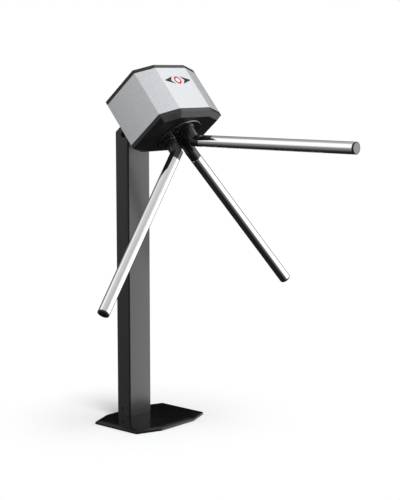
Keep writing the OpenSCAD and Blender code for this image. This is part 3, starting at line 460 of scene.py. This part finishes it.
def turned(origin, axis, profile, steps=48, first=SIDE):
    """Rings about an axis: each has a radius, or one for every angle, and a distance far along the axis.
    A point is origin + far axis + radius (cos t first + sin t (axis x first)), with t its angle."""
    axis = np.asarray(axis, float)/np.linalg.norm(axis)
    first = first - (first @ axis)*axis
    first /= np.linalg.norm(first)
    other = np.cross(axis, first)
    angle = np.linspace(0, 2*np.pi, steps, endpoint=False)
    spoke = np.cos(angle)[:, None]*first + np.sin(angle)[:, None]*other
    return [np.asarray(origin) + far*axis + np.reshape(radius, (-1, 1))*spoke for radius, far in profile]


def powder_coat():
    """Black powder paint, with the fine even grain of orange peel."""
    return coated("powder_black", (0.006, 0.006, 0.0063), (0.009, 0.009, 0.0094), grain=0.0011,
                  rough=(0.26, 0.32), bump=0.00003, specular=0.55, ior=1.58)


def cap_black():
    """Dull black moulding."""
    return coated("cap_black", (0.014, 0.014, 0.015), (0.02, 0.02, 0.021), grain=0.0006, rough=(0.42, 0.55),
                  bump=0.00003)


def build_post():
    """Outer and inner outlines run from the foot to the slanted end, and join there and at the foot. The
    cap is the outer outline between the slanted end and the cap's own height."""
    outer = softened(rectangle(POST_AT, 0, POST_DEPTH/2, POST_WIDTH/2), POST_CORNER, POST_CORNER_STEPS)
    inner = softened(rectangle(POST_AT, 0, POST_DEPTH/2 - POST_WALL, POST_WIDTH/2 - POST_WALL),
                     POST_CORNER - POST_WALL, POST_CORNER_STEPS)
    end, cap_end = reach("post")[0][2], reach("post_cap")[0][2]
    foot = np.full(len(outer), POST_FOOT)
    rings = [
        np.column_stack([outer, foot]), mitred(outer, end),
        mitred(inner, end), np.column_stack([inner, foot]),
    ]
    x, z, r = SPANNER_HOLE
    spanner = skin("spanner", turned((x, -POST_WIDTH, z), SIDE, [(r, 0), (r, 2*POST_WIDTH)], first=RISE))
    x, z, r = EARTH_HOLE
    earth = skin("earth", turned((x, -POST_WIDTH, z), SIDE, [(r, 0), (r, POST_WIDTH)], first=RISE))
    mesh = cut(skin("post", rings, closed=True), spanner, earth)
    piece("post_tube", mesh, powder_black, "stand", ["post"], edge=0.0003)
    cap = skin("cap", [mitred(outer, end), mitred(outer, cap_end)])
    piece("post_end_cap", cap, cap_black(), "stand", ["post_cap"], edge=0.0006)


powder_black = powder_coat()
build_post()

# Neck: a cast wedge fills the corner between the post and the head's floor. Bolts from inside the post and
# from inside the head hold it, and a rubber grommet guards the cables that pass up through it.
dress(powder_black, "neck_saddle")
bolt_steel = coated("bolt_steel", (0.40, 0.41, 0.42), (0.56, 0.57, 0.58), grain=0.0012, rough=(0.22, 0.38),
                    bump=0.00002, metallic=1.0)
rubber = coated("grommet_rubber", (0.012, 0.012, 0.012), (0.022, 0.022, 0.022), grain=0.0008,
                rough=(0.7, 0.85), bump=0.00004)
dress(bolt_steel, "post_bolts", "head_bolts")
dress(rubber, "cable_grommet")

# Chassis: bent zinc-plated sheet with a front plate, a floor and a back plate, held apart at the top by rods.
# It carries everything in the head and is hidden by the shell.
dress(zinc, "chassis", "tie_rods", "indicator_bracket")

# Shell: one sheet of aluminium folded to eight sides round the chassis, in fine-grained silver paint. Its
# folds are tight, its top face has three openings for the indicator, and its floor is open round the neck.
TOP_RISE = 0.1084
TOP_HALF = 0.0643
HEAD_HALF = 0.1315
FACET_DROP = 0.0247
SIDE_DROP = 0.0594
BOTTOM_DROP = 0.0787
BOTTOM_HALF = 0.078
FOLD_RADIUS = 0.0022
SHELL_WALL = 0.002
MARK_OUT = -0.0183
RING_RADIUS = 0.0135
RING_BAND = 0.005
ARROW_TIP = 0.0561
ARROW_BACK = 0.0175
ARROW_HALF = 0.0134
ARROW_HOLLOW = 0.0105
ARROW_NOSE = 0.003
LENS_GAP = 0.00015
LENS_STEPS = 64
NECK_HALF = 0.0404
NECK_OUT = (-0.0284, 0.0404)  # back and front

HEAD_OUTLINE = np.array([
    (TOP_RISE, -TOP_HALF), (TOP_RISE, TOP_HALF), (TOP_RISE - FACET_DROP, HEAD_HALF), (-SIDE_DROP, HEAD_HALF),
    (-BOTTOM_DROP, BOTTOM_HALF), (-BOTTOM_DROP, -BOTTOM_HALF), (-SIDE_DROP, -HEAD_HALF),
    (TOP_RISE - FACET_DROP, -HEAD_HALF),
])


def head_outline(by):
    """The head's outline moved in by that distance. Its folds keep what is left of FOLD_RADIUS, or at least
    a quarter of it."""
    return softened(inset(HEAD_OUTLINE, by), max(FOLD_RADIUS - by, FOLD_RADIUS/4))


def head_rings(profile):
    """The head's outline, moved in by each profile point's first value, at the distance out of its second."""
    return [in_head(*head_outline(by).T, out) for by, out in profile]


def arrow_outline(side, grow):
    """An arrow along side, moved out by grow all round. A notch hollows its back: its lines run from the
    back corners and touch a circle of ARROW_NOSE, so they turn by atan(depth/half) + asin(nose/distance to
    its middle)."""
    depth = ARROW_HOLLOW - ARROW_NOSE
    slope = np.arctan2(depth, ARROW_HALF) + np.arcsin(ARROW_NOSE/np.hypot(ARROW_HALF, depth))
    angle = np.linspace(-slope, slope, 11)
    nose = np.stack([ARROW_NOSE*np.sin(angle), ARROW_BACK + depth + ARROW_NOSE*np.cos(angle)], -1)
    outline = [(-ARROW_HALF, ARROW_BACK), *nose, (ARROW_HALF, ARROW_BACK), (0, ARROW_TIP)]
    out, across = inset(outline, -grow).T
    return out, side*across


def face_block(outline, low, high):
    """A block on the head's top face: its outline, in out and side from the indicator, between two rises."""
    out, side = outline
    return skin("block", [in_head(rise, side, MARK_OUT + out) for rise in (low, high)])


def metallic_silver():
    """Silver paint: a flake of several sizes, broader along X and Y, shifts its tone and lifts it."""
    return coated("metallic_silver", (0.47, 0.48, 0.495), (0.54, 0.55, 0.565), grain=0.0034,
                  rough=(0.34, 0.42), bump=0.00004, metallic=0.35, stretch=(0.6, 0.6, 1), detail=5.0)


def build_shell():
    """Four rings make the folded sheet: outer back, outer front, inner front, inner back. The arrows, the
    ring and the neck are cut out of it, each by a block that runs through one wall."""
    back, front = reach("shell")[0][2], reach("shell")[1][2]
    profile = [(0, back), (0, front), (SHELL_WALL, front), (SHELL_WALL, back)]
    mesh = skin("shell", head_rings(profile), closed=True)
    low, high = TOP_RISE - 2*SHELL_WALL, TOP_RISE + SHELL_WALL
    tools = [face_block(arrow_outline(side, LENS_GAP), low, high) for side in (-1, 1)]
    hole = RING_RADIUS + LENS_GAP
    drill = turned(in_head(low, 0, MARK_OUT), RISE, [(hole, 0), (hole, high - low)], LENS_STEPS)
    tools.append(skin("ring", drill))
    neck_back, neck_front = NECK_OUT
    out, side = rectangle((neck_back + neck_front)/2, 0, (neck_front - neck_back)/2, NECK_HALF).T
    heights = (-BOTTOM_DROP - SHELL_WALL, -BOTTOM_DROP + 2*SHELL_WALL)
    tools.append(skin("neck", [in_head(rise, side, out) for rise in heights]))
    mesh = cut(mesh, *tools)
    piece("shell_folded", mesh, metallic_silver(), "stand", ["shell"], edge=0.0003)


build_shell()

# Indicator: a red ring round a pale centre between two dark arrows, all moulded lenses flush with the
# shell's top. The lamps behind them sit on a small circuit board and are off, so the arrows look dark green.
ARROW_LAMPS = 0.0035
RING_LAMPS = 0.003
LAMP_SHARE = 0.6


def lens_material(name, colour, dot, spacing):
    """A lens over a grid of lamps: each cell of the Voronoi pattern is spacing wide, and tinted towards the
    colour dot by LAMP_SHARE at its middle and by nothing at its edge."""
    second = tuple(1.15*c for c in colour)
    material = coated(name, colour, second, grain=0.004, rough=(0.25, 0.35), bump=0.00001, specular=0.05)
    tree = material.node_tree
    spot = add(tree, "ShaderNodeTexCoord").outputs["Object"]
    cells = add(tree, "ShaderNodeTexVoronoi", {"Vector": spot, "Scale": 1/spacing, "Randomness": 0.0})
    share = add(tree, "ShaderNodeMapRange", {
        "Value": cells.outputs["Distance"], "From Min": 0.25, "From Max": 0.5,
        "To Min": LAMP_SHARE, "To Max": 0.0,
    })
    surface = tree.nodes["Principled BSDF"]
    under = surface.inputs["Base Color"].links[0].from_socket
    lit = add(tree, "ShaderNodeMix", {"Factor": share.outputs[0], "A": under, "B": (*dot, 1)},
              data_type="RGBA")
    tree.links.new(lit.outputs["Result"], surface.inputs["Base Color"])
    return material


def cap_white():
    """Milky moulding, faintly blue."""
    return coated("cap_white", (0.52, 0.56, 0.57), (0.60, 0.63, 0.64), grain=0.003, rough=(0.25, 0.35),
                  bump=0.00001, specular=0.2)


def circuit_board():
    """Green solder mask, with a faint mottling that is squeezed along Z."""
    return coated("circuit_board", (0.012, 0.10, 0.040), (0.03, 0.19, 0.08), grain=0.004, rough=(0.25, 0.40),
                  bump=0.00004, stretch=(1, 1, 4))


def build_indicator():
    """Each lens rises from under the sheet to the top face. The ring is a square-edged band round the cap."""
    low = TOP_RISE - SHELL_WALL
    green = lens_material("arrow_green", (0.012, 0.020, 0.011), (0.020, 0.034, 0.018), ARROW_LAMPS)
    for name, side in (("arrow_lens_a", 1), ("arrow_lens_b", -1)):
        mesh = face_block(arrow_outline(side, 0), low, TOP_RISE)
        piece(name + "_flush", mesh, green, "stand", [name], edge=0.0002)
    middle = in_head(low, 0, MARK_OUT)
    inner = RING_RADIUS - RING_BAND
    band = [(inner, 0), (RING_RADIUS, 0), (RING_RADIUS, SHELL_WALL), (inner, SHELL_WALL)]
    red = lens_material("ring_red", (0.43, 0.016, 0.020), (0.50, 0.026, 0.030), RING_LAMPS)
    mesh = skin("ring", turned(middle, RISE, band, LENS_STEPS), closed=True)
    piece("ring_lens_flush", mesh, red, "stand", ["ring_lens"], edge=0.0002)
    disc = [(inner - LENS_GAP, 0), (inner - LENS_GAP, SHELL_WALL)]
    mesh = skin("cap", turned(middle, RISE, disc, LENS_STEPS))
    piece("ring_cap_flush", mesh, cap_white(), "stand", ["ring_cap"], edge=0.0002)


build_indicator()
dress(circuit_board(), "indicator_board", "control_board")

# Bezel: a black moulded frame on the shell's front, held by screws from behind. Its rim runs straight, then
# slopes in to a flat face, and the hub plate turns in its round opening.
COVER_WALL = 0.003
RIM_DEPTH = 0.012
CHAMFER = (0.016, 0.010)  # inwards and forwards
HUB_RADIUS = 0.070
HUB_GAP = 0.002
FACE_STEP = 0.005


def densely(points, counts):
    """Puts counts[j] even steps on side j of a closed outline, so that it can run over into a round one."""
    p = np.asarray(points, float)
    ahead = np.roll(p, -1, 0)
    return np.concatenate([a + (b - a)*np.arange(c)[:, None]/c for a, b, c in zip(p, ahead, counts)])


def moulded_black(name, tone):
    """Moulded plastic with an even spark-eroded grain of about half a millimetre."""
    return coated(name, (tone, tone, tone*1.03), (tone*1.35, tone*1.35, tone*1.4), grain=0.0005,
                  rough=(0.36, 0.46), bump=0.00003)


def build_bezel():
    """Rings run forwards over the rim and the chamfer, across the face to the round opening, and back
    inside. Their points stand about FACE_STEP apart, and each has its place on the opening at its own angle
    about the shaft."""
    start = reach("shell")[1][2]
    slope_in, slope_out = CHAMFER
    rim, face = start + RIM_DEPTH, start + RIM_DEPTH + slope_out
    corners = head_outline(0)
    sides = np.linalg.norm(np.roll(corners, -1, 0) - corners, axis=1)
    counts = np.maximum(1, np.round(sides/FACE_STEP)).astype(int)

    def ring(by, out):
        """The head's outline moved in, with the same number of points on each side as every other ring."""
        return in_head(*densely(head_outline(by), counts).T, out)

    rise, side = densely(head_outline(slope_in), counts).T
    angle = np.arctan2(side, rise - SHAFT_RISE)
    radius = HUB_RADIUS + HUB_GAP

    def opening(out):
        """The circle about the shaft, at the angles of the face's own points."""
        return in_head(SHAFT_RISE + radius*np.cos(angle), radius*np.sin(angle), out)

    rings = [
        ring(0, start), ring(0, rim), ring(slope_in, face), opening(face), opening(face - COVER_WALL),
        ring(slope_in + COVER_WALL/2, face - COVER_WALL), ring(COVER_WALL, rim - COVER_WALL/2),
        ring(COVER_WALL, start),
    ]
    mesh = skin("bezel", rings, closed=True)
    piece("bezel_moulded", mesh, moulded_black("bezel_black", 0.006), "stand", ["bezel"],
          edge=0.0006)


build_bezel()
dress(bolt_steel, "bezel_screws")

# Back cover: a shallow black moulding over the shell's back, held by four screws in round recesses.
# The release lock comes through a hole below its middle.
COVER_SCREWS = ((0.0657, 0.108), (-0.0492, 0.108))  # rise, and distance to either side
COVER_SCREW_HEAD = (0.0043, 0.0023, 0.003)  # radius, height and width of the socket
SCREW_STEPS = 48
SCREW_GAP = 0.00003
RECESS_RADIUS = 0.0049
RECESS_DEPTH = 0.0024
LOCK_RISE = -0.036
LOCK_RADIUS = 0.009
TOOL_END = 0.01


def hexagon(across):
    """The radii of a hexagon of that width across its flats, one for each of SCREW_STEPS angles: half the
    width over the cosine of the angle from the nearest flat's middle."""
    angle = np.linspace(0, 2*np.pi, SCREW_STEPS, endpoint=False)
    return across/2/np.cos((angle + np.pi/6) % (np.pi/3) - np.pi/6)


def socket_head(origin, axis, radius, height, key):
    """A screw head along the axis: a rounded cap with a hexagon socket in its top, down to half its height."""
    flat = hexagon(key)
    profile = [
        (radius, 0), (radius, 0.55*height), (0.93*radius, 0.82*height), (0.78*radius, height),
        (flat*1.04, height), (flat, 0.94*height), (flat, 0.5*height),
    ]
    return skin("screw", turned(origin, axis, profile, SCREW_STEPS))


def build_back_cover():
    """A cup: its rings run from the inside floor forwards to the rim, and back over the outside to the flat
    back. The tools for its holes start TOOL_END behind it, and a screw head stands SCREW_GAP clear of the
    floor of its recess."""
    front, back = reach("shell")[0][2], reach("back_cover")[0][2]
    profile = [(COVER_WALL, back + COVER_WALL), (COVER_WALL, front), (0, front), (0, back)]
    mesh = skin("back", head_rings(profile))
    places = [(rise, side*half) for rise, half in COVER_SCREWS for side in (-1, 1)]
    recess = [(RECESS_RADIUS, -TOOL_END), (RECESS_RADIUS, RECESS_DEPTH)]
    tools = [skin("recess", turned(in_head(rise, side, back), OUT, recess)) for rise, side in places]
    hole = [(LOCK_RADIUS, -TOOL_END), (LOCK_RADIUS, TOOL_END)]
    tools.append(skin("lock", turned(in_head(LOCK_RISE, 0, back), OUT, hole)))
    piece("back_cover_moulded", cut(mesh, *tools), moulded_black("cover_black", 0.008), "stand",
          ["back_cover"], edge=0.0008)
    seat = back + RECESS_DEPTH - SCREW_GAP
    for i, (rise, side) in enumerate(places):
        head = socket_head(in_head(rise, side, seat), -OUT, *COVER_SCREW_HEAD)
        piece(f"cover_screw_{i + 1}", head, bolt_steel, "stand", ["cover_screws"])


build_back_cover()

# Release lock: a chromed barrel in the back cover with a brass plug that turns with its key.
# The switch behind it tells the control board.
LOCK_BORE = 0.00605
LOCK_STEPS = 64
SLIDE_GAP = 0.0001


def polished_chrome():
    """Chromed steel: nearly mirror-bright, with faint clouds about two centimetres wide in its roughness."""
    return coated("polished_chrome", (0.92, 0.922, 0.927), (0.95, 0.952, 0.956), grain=0.02,
                  rough=(0.07, 0.10), bump=0.000002, metallic=1.0)


def turned_brass():
    """Brass off the lathe: its fine grain is squeezed along Y."""
    return coated("turned_brass", (0.56, 0.40, 0.16), (0.72, 0.54, 0.26), grain=0.0008, rough=(0.2, 0.32),
                  bump=0.00002, metallic=1.0, stretch=(1, 6, 1))


def build_lock():
    """The barrel's rings run from its inner end back to the rim, over it, and down its bore again."""
    low, high = reach("lock_body")
    rim, barrel = (high[1] - low[1])/2, LOCK_RADIUS - SLIDE_GAP
    back = reach("back_cover")[0][2]
    profile = [
        (LOCK_BORE, high[2]), (barrel, high[2]), (barrel, back),
        (rim, back), (rim, low[2]), (LOCK_BORE, low[2]),
    ]
    rings = turned(in_head(LOCK_RISE, 0, 0), OUT, profile, LOCK_STEPS)
    mesh = skin("lock", rings, closed=True)
    piece("lock_barrel", mesh, chrome, "stand", ["lock_body"], edge=0.0005)


chrome = polished_chrome()
build_lock()
dress(turned_brass(), "lock_plug", "board_spacers")

# Mechanism inside the head: a cast bearing housing, a notched lock wheel with two pawls that solenoids push
# in, an encoder and a damping unit, all on or about the slanted shaft.
cast = coated("cast_aluminium", (0.42, 0.43, 0.44), (0.55, 0.56, 0.57), grain=0.0015, rough=(0.4, 0.6),
              bump=0.00012, metallic=1.0)
machined = coated("machined_steel", (0.50, 0.51, 0.52), (0.66, 0.67, 0.68), grain=0.0006, rough=(0.18, 0.32),
                  bump=0.00001, metallic=1.0, stretch=(1, 5, 1))
device = coated("device_plastic", (0.018, 0.018, 0.021), (0.03, 0.03, 0.034), grain=0.0008, rough=(0.4, 0.55),
                bump=0.00003)
dress(cast, "bearing_housing")
dress(machined, "front_bearing", "rear_bearing", "rotor_shaft", "lock_wheel", "encoder_disc")
dress(machined, "pawl_a", "pawl_b", "plunger_a", "plunger_b")
dress(bolt_steel, "housing_bolts", "pawl_springs", "root_bolts", "arm_screws")
dress(zinc, "lock_plate", "plate_posts", "pawl_pins")
dress(device, "board_parts", "solenoid_a", "solenoid_b", "encoder_sensor", "damper_unit", "lock_switch")

# Hub plate: a black painted disc with a rounded edge that turns with the shaft in the bezel's opening.
# Three small button screws hold it between the arm roots.
HUB_EDGE = 0.003
HUB_BACK_EDGE = 0.0005
HUB_STEPS = 128
ROOT_PITCH = 0.037
ARM_STEP = np.radians(120)
HUB_SCREW_HEAD = (0.0065, 0.004, 0.0045)  # radius, height and width of the socket

hub_back, hub_front = (corner[2] for corner in reach("hub_plate"))


def on_shaft(radius, angle, out):
    """The point at that radius and angle from RISE about the shaft's axis, at the distance out."""
    return in_head(SHAFT_RISE + radius*np.cos(angle), radius*np.sin(angle), out)


def quarter_round(radius, far, soft, steps=5):
    """Points of an edge rounded by soft, from the side at the radius to the face at the distance far."""
    bend = np.linspace(0, np.pi/2, steps)
    return [(radius - soft*(1 - np.cos(b)), far - soft*(1 - np.sin(b))) for b in bend]


def hub_black():
    """Glossy black paint with a strong reflection, smoother than the mouldings round it."""
    return coated("hub_black", (0.005, 0.005, 0.0055), (0.008, 0.008, 0.0085), grain=0.001,
                  rough=(0.12, 0.18), bump=0.00001, specular=1.0, ior=1.75)


def screw_black():
    """Blackened steel."""
    return coated("screw_black", (0.05, 0.05, 0.052), (0.09, 0.09, 0.092), grain=0.0009, rough=(0.25, 0.4),
                  bump=0.00001, metallic=1.0)


def build_hub():
    """The plate is turned: its side, a quarter-round edge and its flat front. A screw stands halfway from
    each arm root to the next."""
    profile = [(HUB_RADIUS - HUB_BACK_EDGE, hub_back), (HUB_RADIUS, hub_back + HUB_BACK_EDGE)]
    profile += quarter_round(HUB_RADIUS, hub_front, HUB_EDGE, steps=7)
    mesh = skin("hub", turned(in_head(SHAFT_RISE, 0, 0), OUT, profile, HUB_STEPS))
    piece("hub_plate_turned", mesh, hub_black(), "rotor", ["hub_plate"])
    dark = screw_black()
    for i in range(3):
        head = socket_head(on_shaft(ROOT_PITCH, (i + 0.5)*ARM_STEP, hub_front), OUT, *HUB_SCREW_HEAD)
        piece(f"hub_screw_{i + 1}", head, dark, "rotor", ["hub_screws"])


build_hub()

# Arm roots: black moulded elbows, one to an arm. A collar seats each on the hub plate, a stub runs out
# along the shaft's direction to a mitred knee, and a sleeve runs on to the bright tube, which is pushed
# over its spigot.
ARM_LETTERS = "abc"
ARM_LEAN = np.radians(50)
ARM_SIDES = 64
TUBE_RADIUS = 0.017
COLLAR = (0.0205, 0.004, 0.0018)  # radius, height and rounding
STUB_RADIUS = 0.0173
STUB_FILLET = 0.0008
KNEE_LAND = 0.0006
SLEEVE_END = 0.073
SLEEVE_BEVEL = 0.0006


def arm_frame(k):
    """Arm k's direction from the point where the arms meet, and its radial direction, k steps from RISE."""
    turn = k*ARM_STEP
    radial = np.cos(turn)*RISE + np.sin(turn)*SIDE
    return np.cos(ARM_LEAN)*OUT + np.sin(ARM_LEAN)*radial, radial


def satin_black():
    """Satin black moulding, smoother than the bezel."""
    return coated("root_black", (0.005, 0.005, 0.0055), (0.008, 0.008, 0.0085), grain=0.0007,
                  rough=(0.16, 0.22), bump=0.00001, specular=0.6, ior=1.55)


def build_arm_root(k):
    """Rings run over the collar, up the stub, round the knee and out along the sleeve. On each side of the
    knee a ring slides along its own axis into the mitre plane, whose normal halves the bend."""
    way, radial = arm_frame(k)
    knee_far = ROOT_PITCH/np.sin(ARM_LEAN)
    knee = CROSSING + knee_far*way
    foot = on_shaft(ROOT_PITCH, k*ARM_STEP, hub_front)
    collar, height, soft = COLLAR
    profile = [(collar, 0), *quarter_round(collar, height, soft)]
    profile += [(STUB_RADIUS + STUB_FILLET, height), (STUB_RADIUS, height + STUB_FILLET)]
    rings = turned(foot, OUT, profile, ARM_SIDES, radial)
    plane = OUT + way
    for axis, radius, far in ((OUT, STUB_RADIUS, -KNEE_LAND), (way, TUBE_RADIUS, KNEE_LAND)):
        ring = turned(knee, axis, [(radius, far)], ARM_SIDES, radial)[0]
        slide = ((knee + far*axis - ring) @ plane)/(axis @ plane)
        rings.append(ring + slide[:, None]*axis)
    end = SLEEVE_END - knee_far
    sleeve = [(TUBE_RADIUS, end - SLEEVE_BEVEL), (TUBE_RADIUS - SLEEVE_BEVEL, end)]
    rings += turned(knee, way, sleeve, ARM_SIDES, radial)
    name = f"arm_root_{ARM_LETTERS[k]}"
    piece(name + "_elbow", skin(name, rings), root_black, "rotor", [name], edge=0.0004)


root_black = satin_black()
for k in range(len(ARM_LETTERS)):
    build_arm_root(k)

# Arms: chromed tubes, 34 mm across, each closed by a black cap that is pushed in and shows as a rim at the
# end, with a glossy disc set in its face. They ride on the hub, so they turn with it.
ARM_REACH = 0.6076
TUBE_WALL = 0.0015
TUBE_LIP = 0.0005
TUBE_SIDES = 192
TUBE_RINGS = 12
RING_MARGIN = 0.01
TIP_RIM = 0.005
TIP_SOFT = 0.0012
TIP_PLUG = 0.01
TIP_FACE = 0.0151
FACE_SINK = 0.0005
DISC_THICK = 0.0004
DISC_BEVEL = 0.0002

tube_inner = TUBE_RADIUS - TUBE_WALL
tube_end = ARM_REACH - TIP_RIM


def build_arm_tube(k):
    """Rings run out along the arm, with a rolled lip at each end, and back inside the tube."""
    way, radial = arm_frame(k)
    places = np.linspace(SLEEVE_END + RING_MARGIN, tube_end - RING_MARGIN, TUBE_RINGS)
    profile = [
        (tube_inner, SLEEVE_END), (TUBE_RADIUS - TUBE_LIP, SLEEVE_END), (TUBE_RADIUS, SLEEVE_END + TUBE_LIP),
        *((TUBE_RADIUS, far) for far in places),
        (TUBE_RADIUS, tube_end - TUBE_LIP), (TUBE_RADIUS - TUBE_LIP, tube_end), (tube_inner, tube_end),
    ]
    mesh = skin("tube", turned(CROSSING, way, profile, TUBE_SIDES, radial), closed=True)
    node = f"arm_tube_{ARM_LETTERS[k]}"
    piece(f"{node}_chromed", mesh, chrome, "rotor", [node])


def tip_black():
    """Matt black moulding."""
    return coated("tip_black", (0.006, 0.006, 0.0065), (0.009, 0.009, 0.0095), grain=0.0006,
                  rough=(0.40, 0.50), bump=0.00002)


def tip_gloss_black():
    """Glossy black moulding."""
    return coated("tip_gloss_black", (0.004, 0.004, 0.0042), (0.006, 0.006, 0.0063), grain=0.0008,
                  rough=(0.18, 0.24), bump=0.00001, specular=1.0, ior=1.63)


def build_arm_tip(k):
    """Cap: a plug, a rim, a rounded shoulder and a sunk face. Disc: bevelled, it fills the sunk face."""
    way, radial = arm_frame(k)
    node = f"arm_tip_{ARM_LETTERS[k]}"
    plug, disc = tube_inner - SLIDE_GAP, TIP_FACE - SLIDE_GAP
    profile = [
        (plug, tube_end - TIP_PLUG), (plug, tube_end), (TUBE_RADIUS, tube_end),
        *quarter_round(TUBE_RADIUS, ARM_REACH, TIP_SOFT),
        (TIP_FACE, ARM_REACH), (TIP_FACE, ARM_REACH - FACE_SINK),
    ]
    mesh = skin("tip", turned(CROSSING, way, profile, ARM_SIDES, radial))
    piece(f"{node}_cap", mesh, cap_finish, "rotor", [node])
    profile = [
        (disc, ARM_REACH - DISC_THICK), (disc, ARM_REACH - DISC_BEVEL), (disc - DISC_BEVEL, ARM_REACH),
    ]
    mesh = skin("disc", turned(CROSSING, way, profile, ARM_SIDES, radial))
    piece(f"{node}_disc", mesh, disc_finish, "rotor", [node])


cap_finish = tip_black()
disc_finish = tip_gloss_black()
for k in range(len(ARM_LETTERS)):
    build_arm_tube(k)
    build_arm_tip(k)
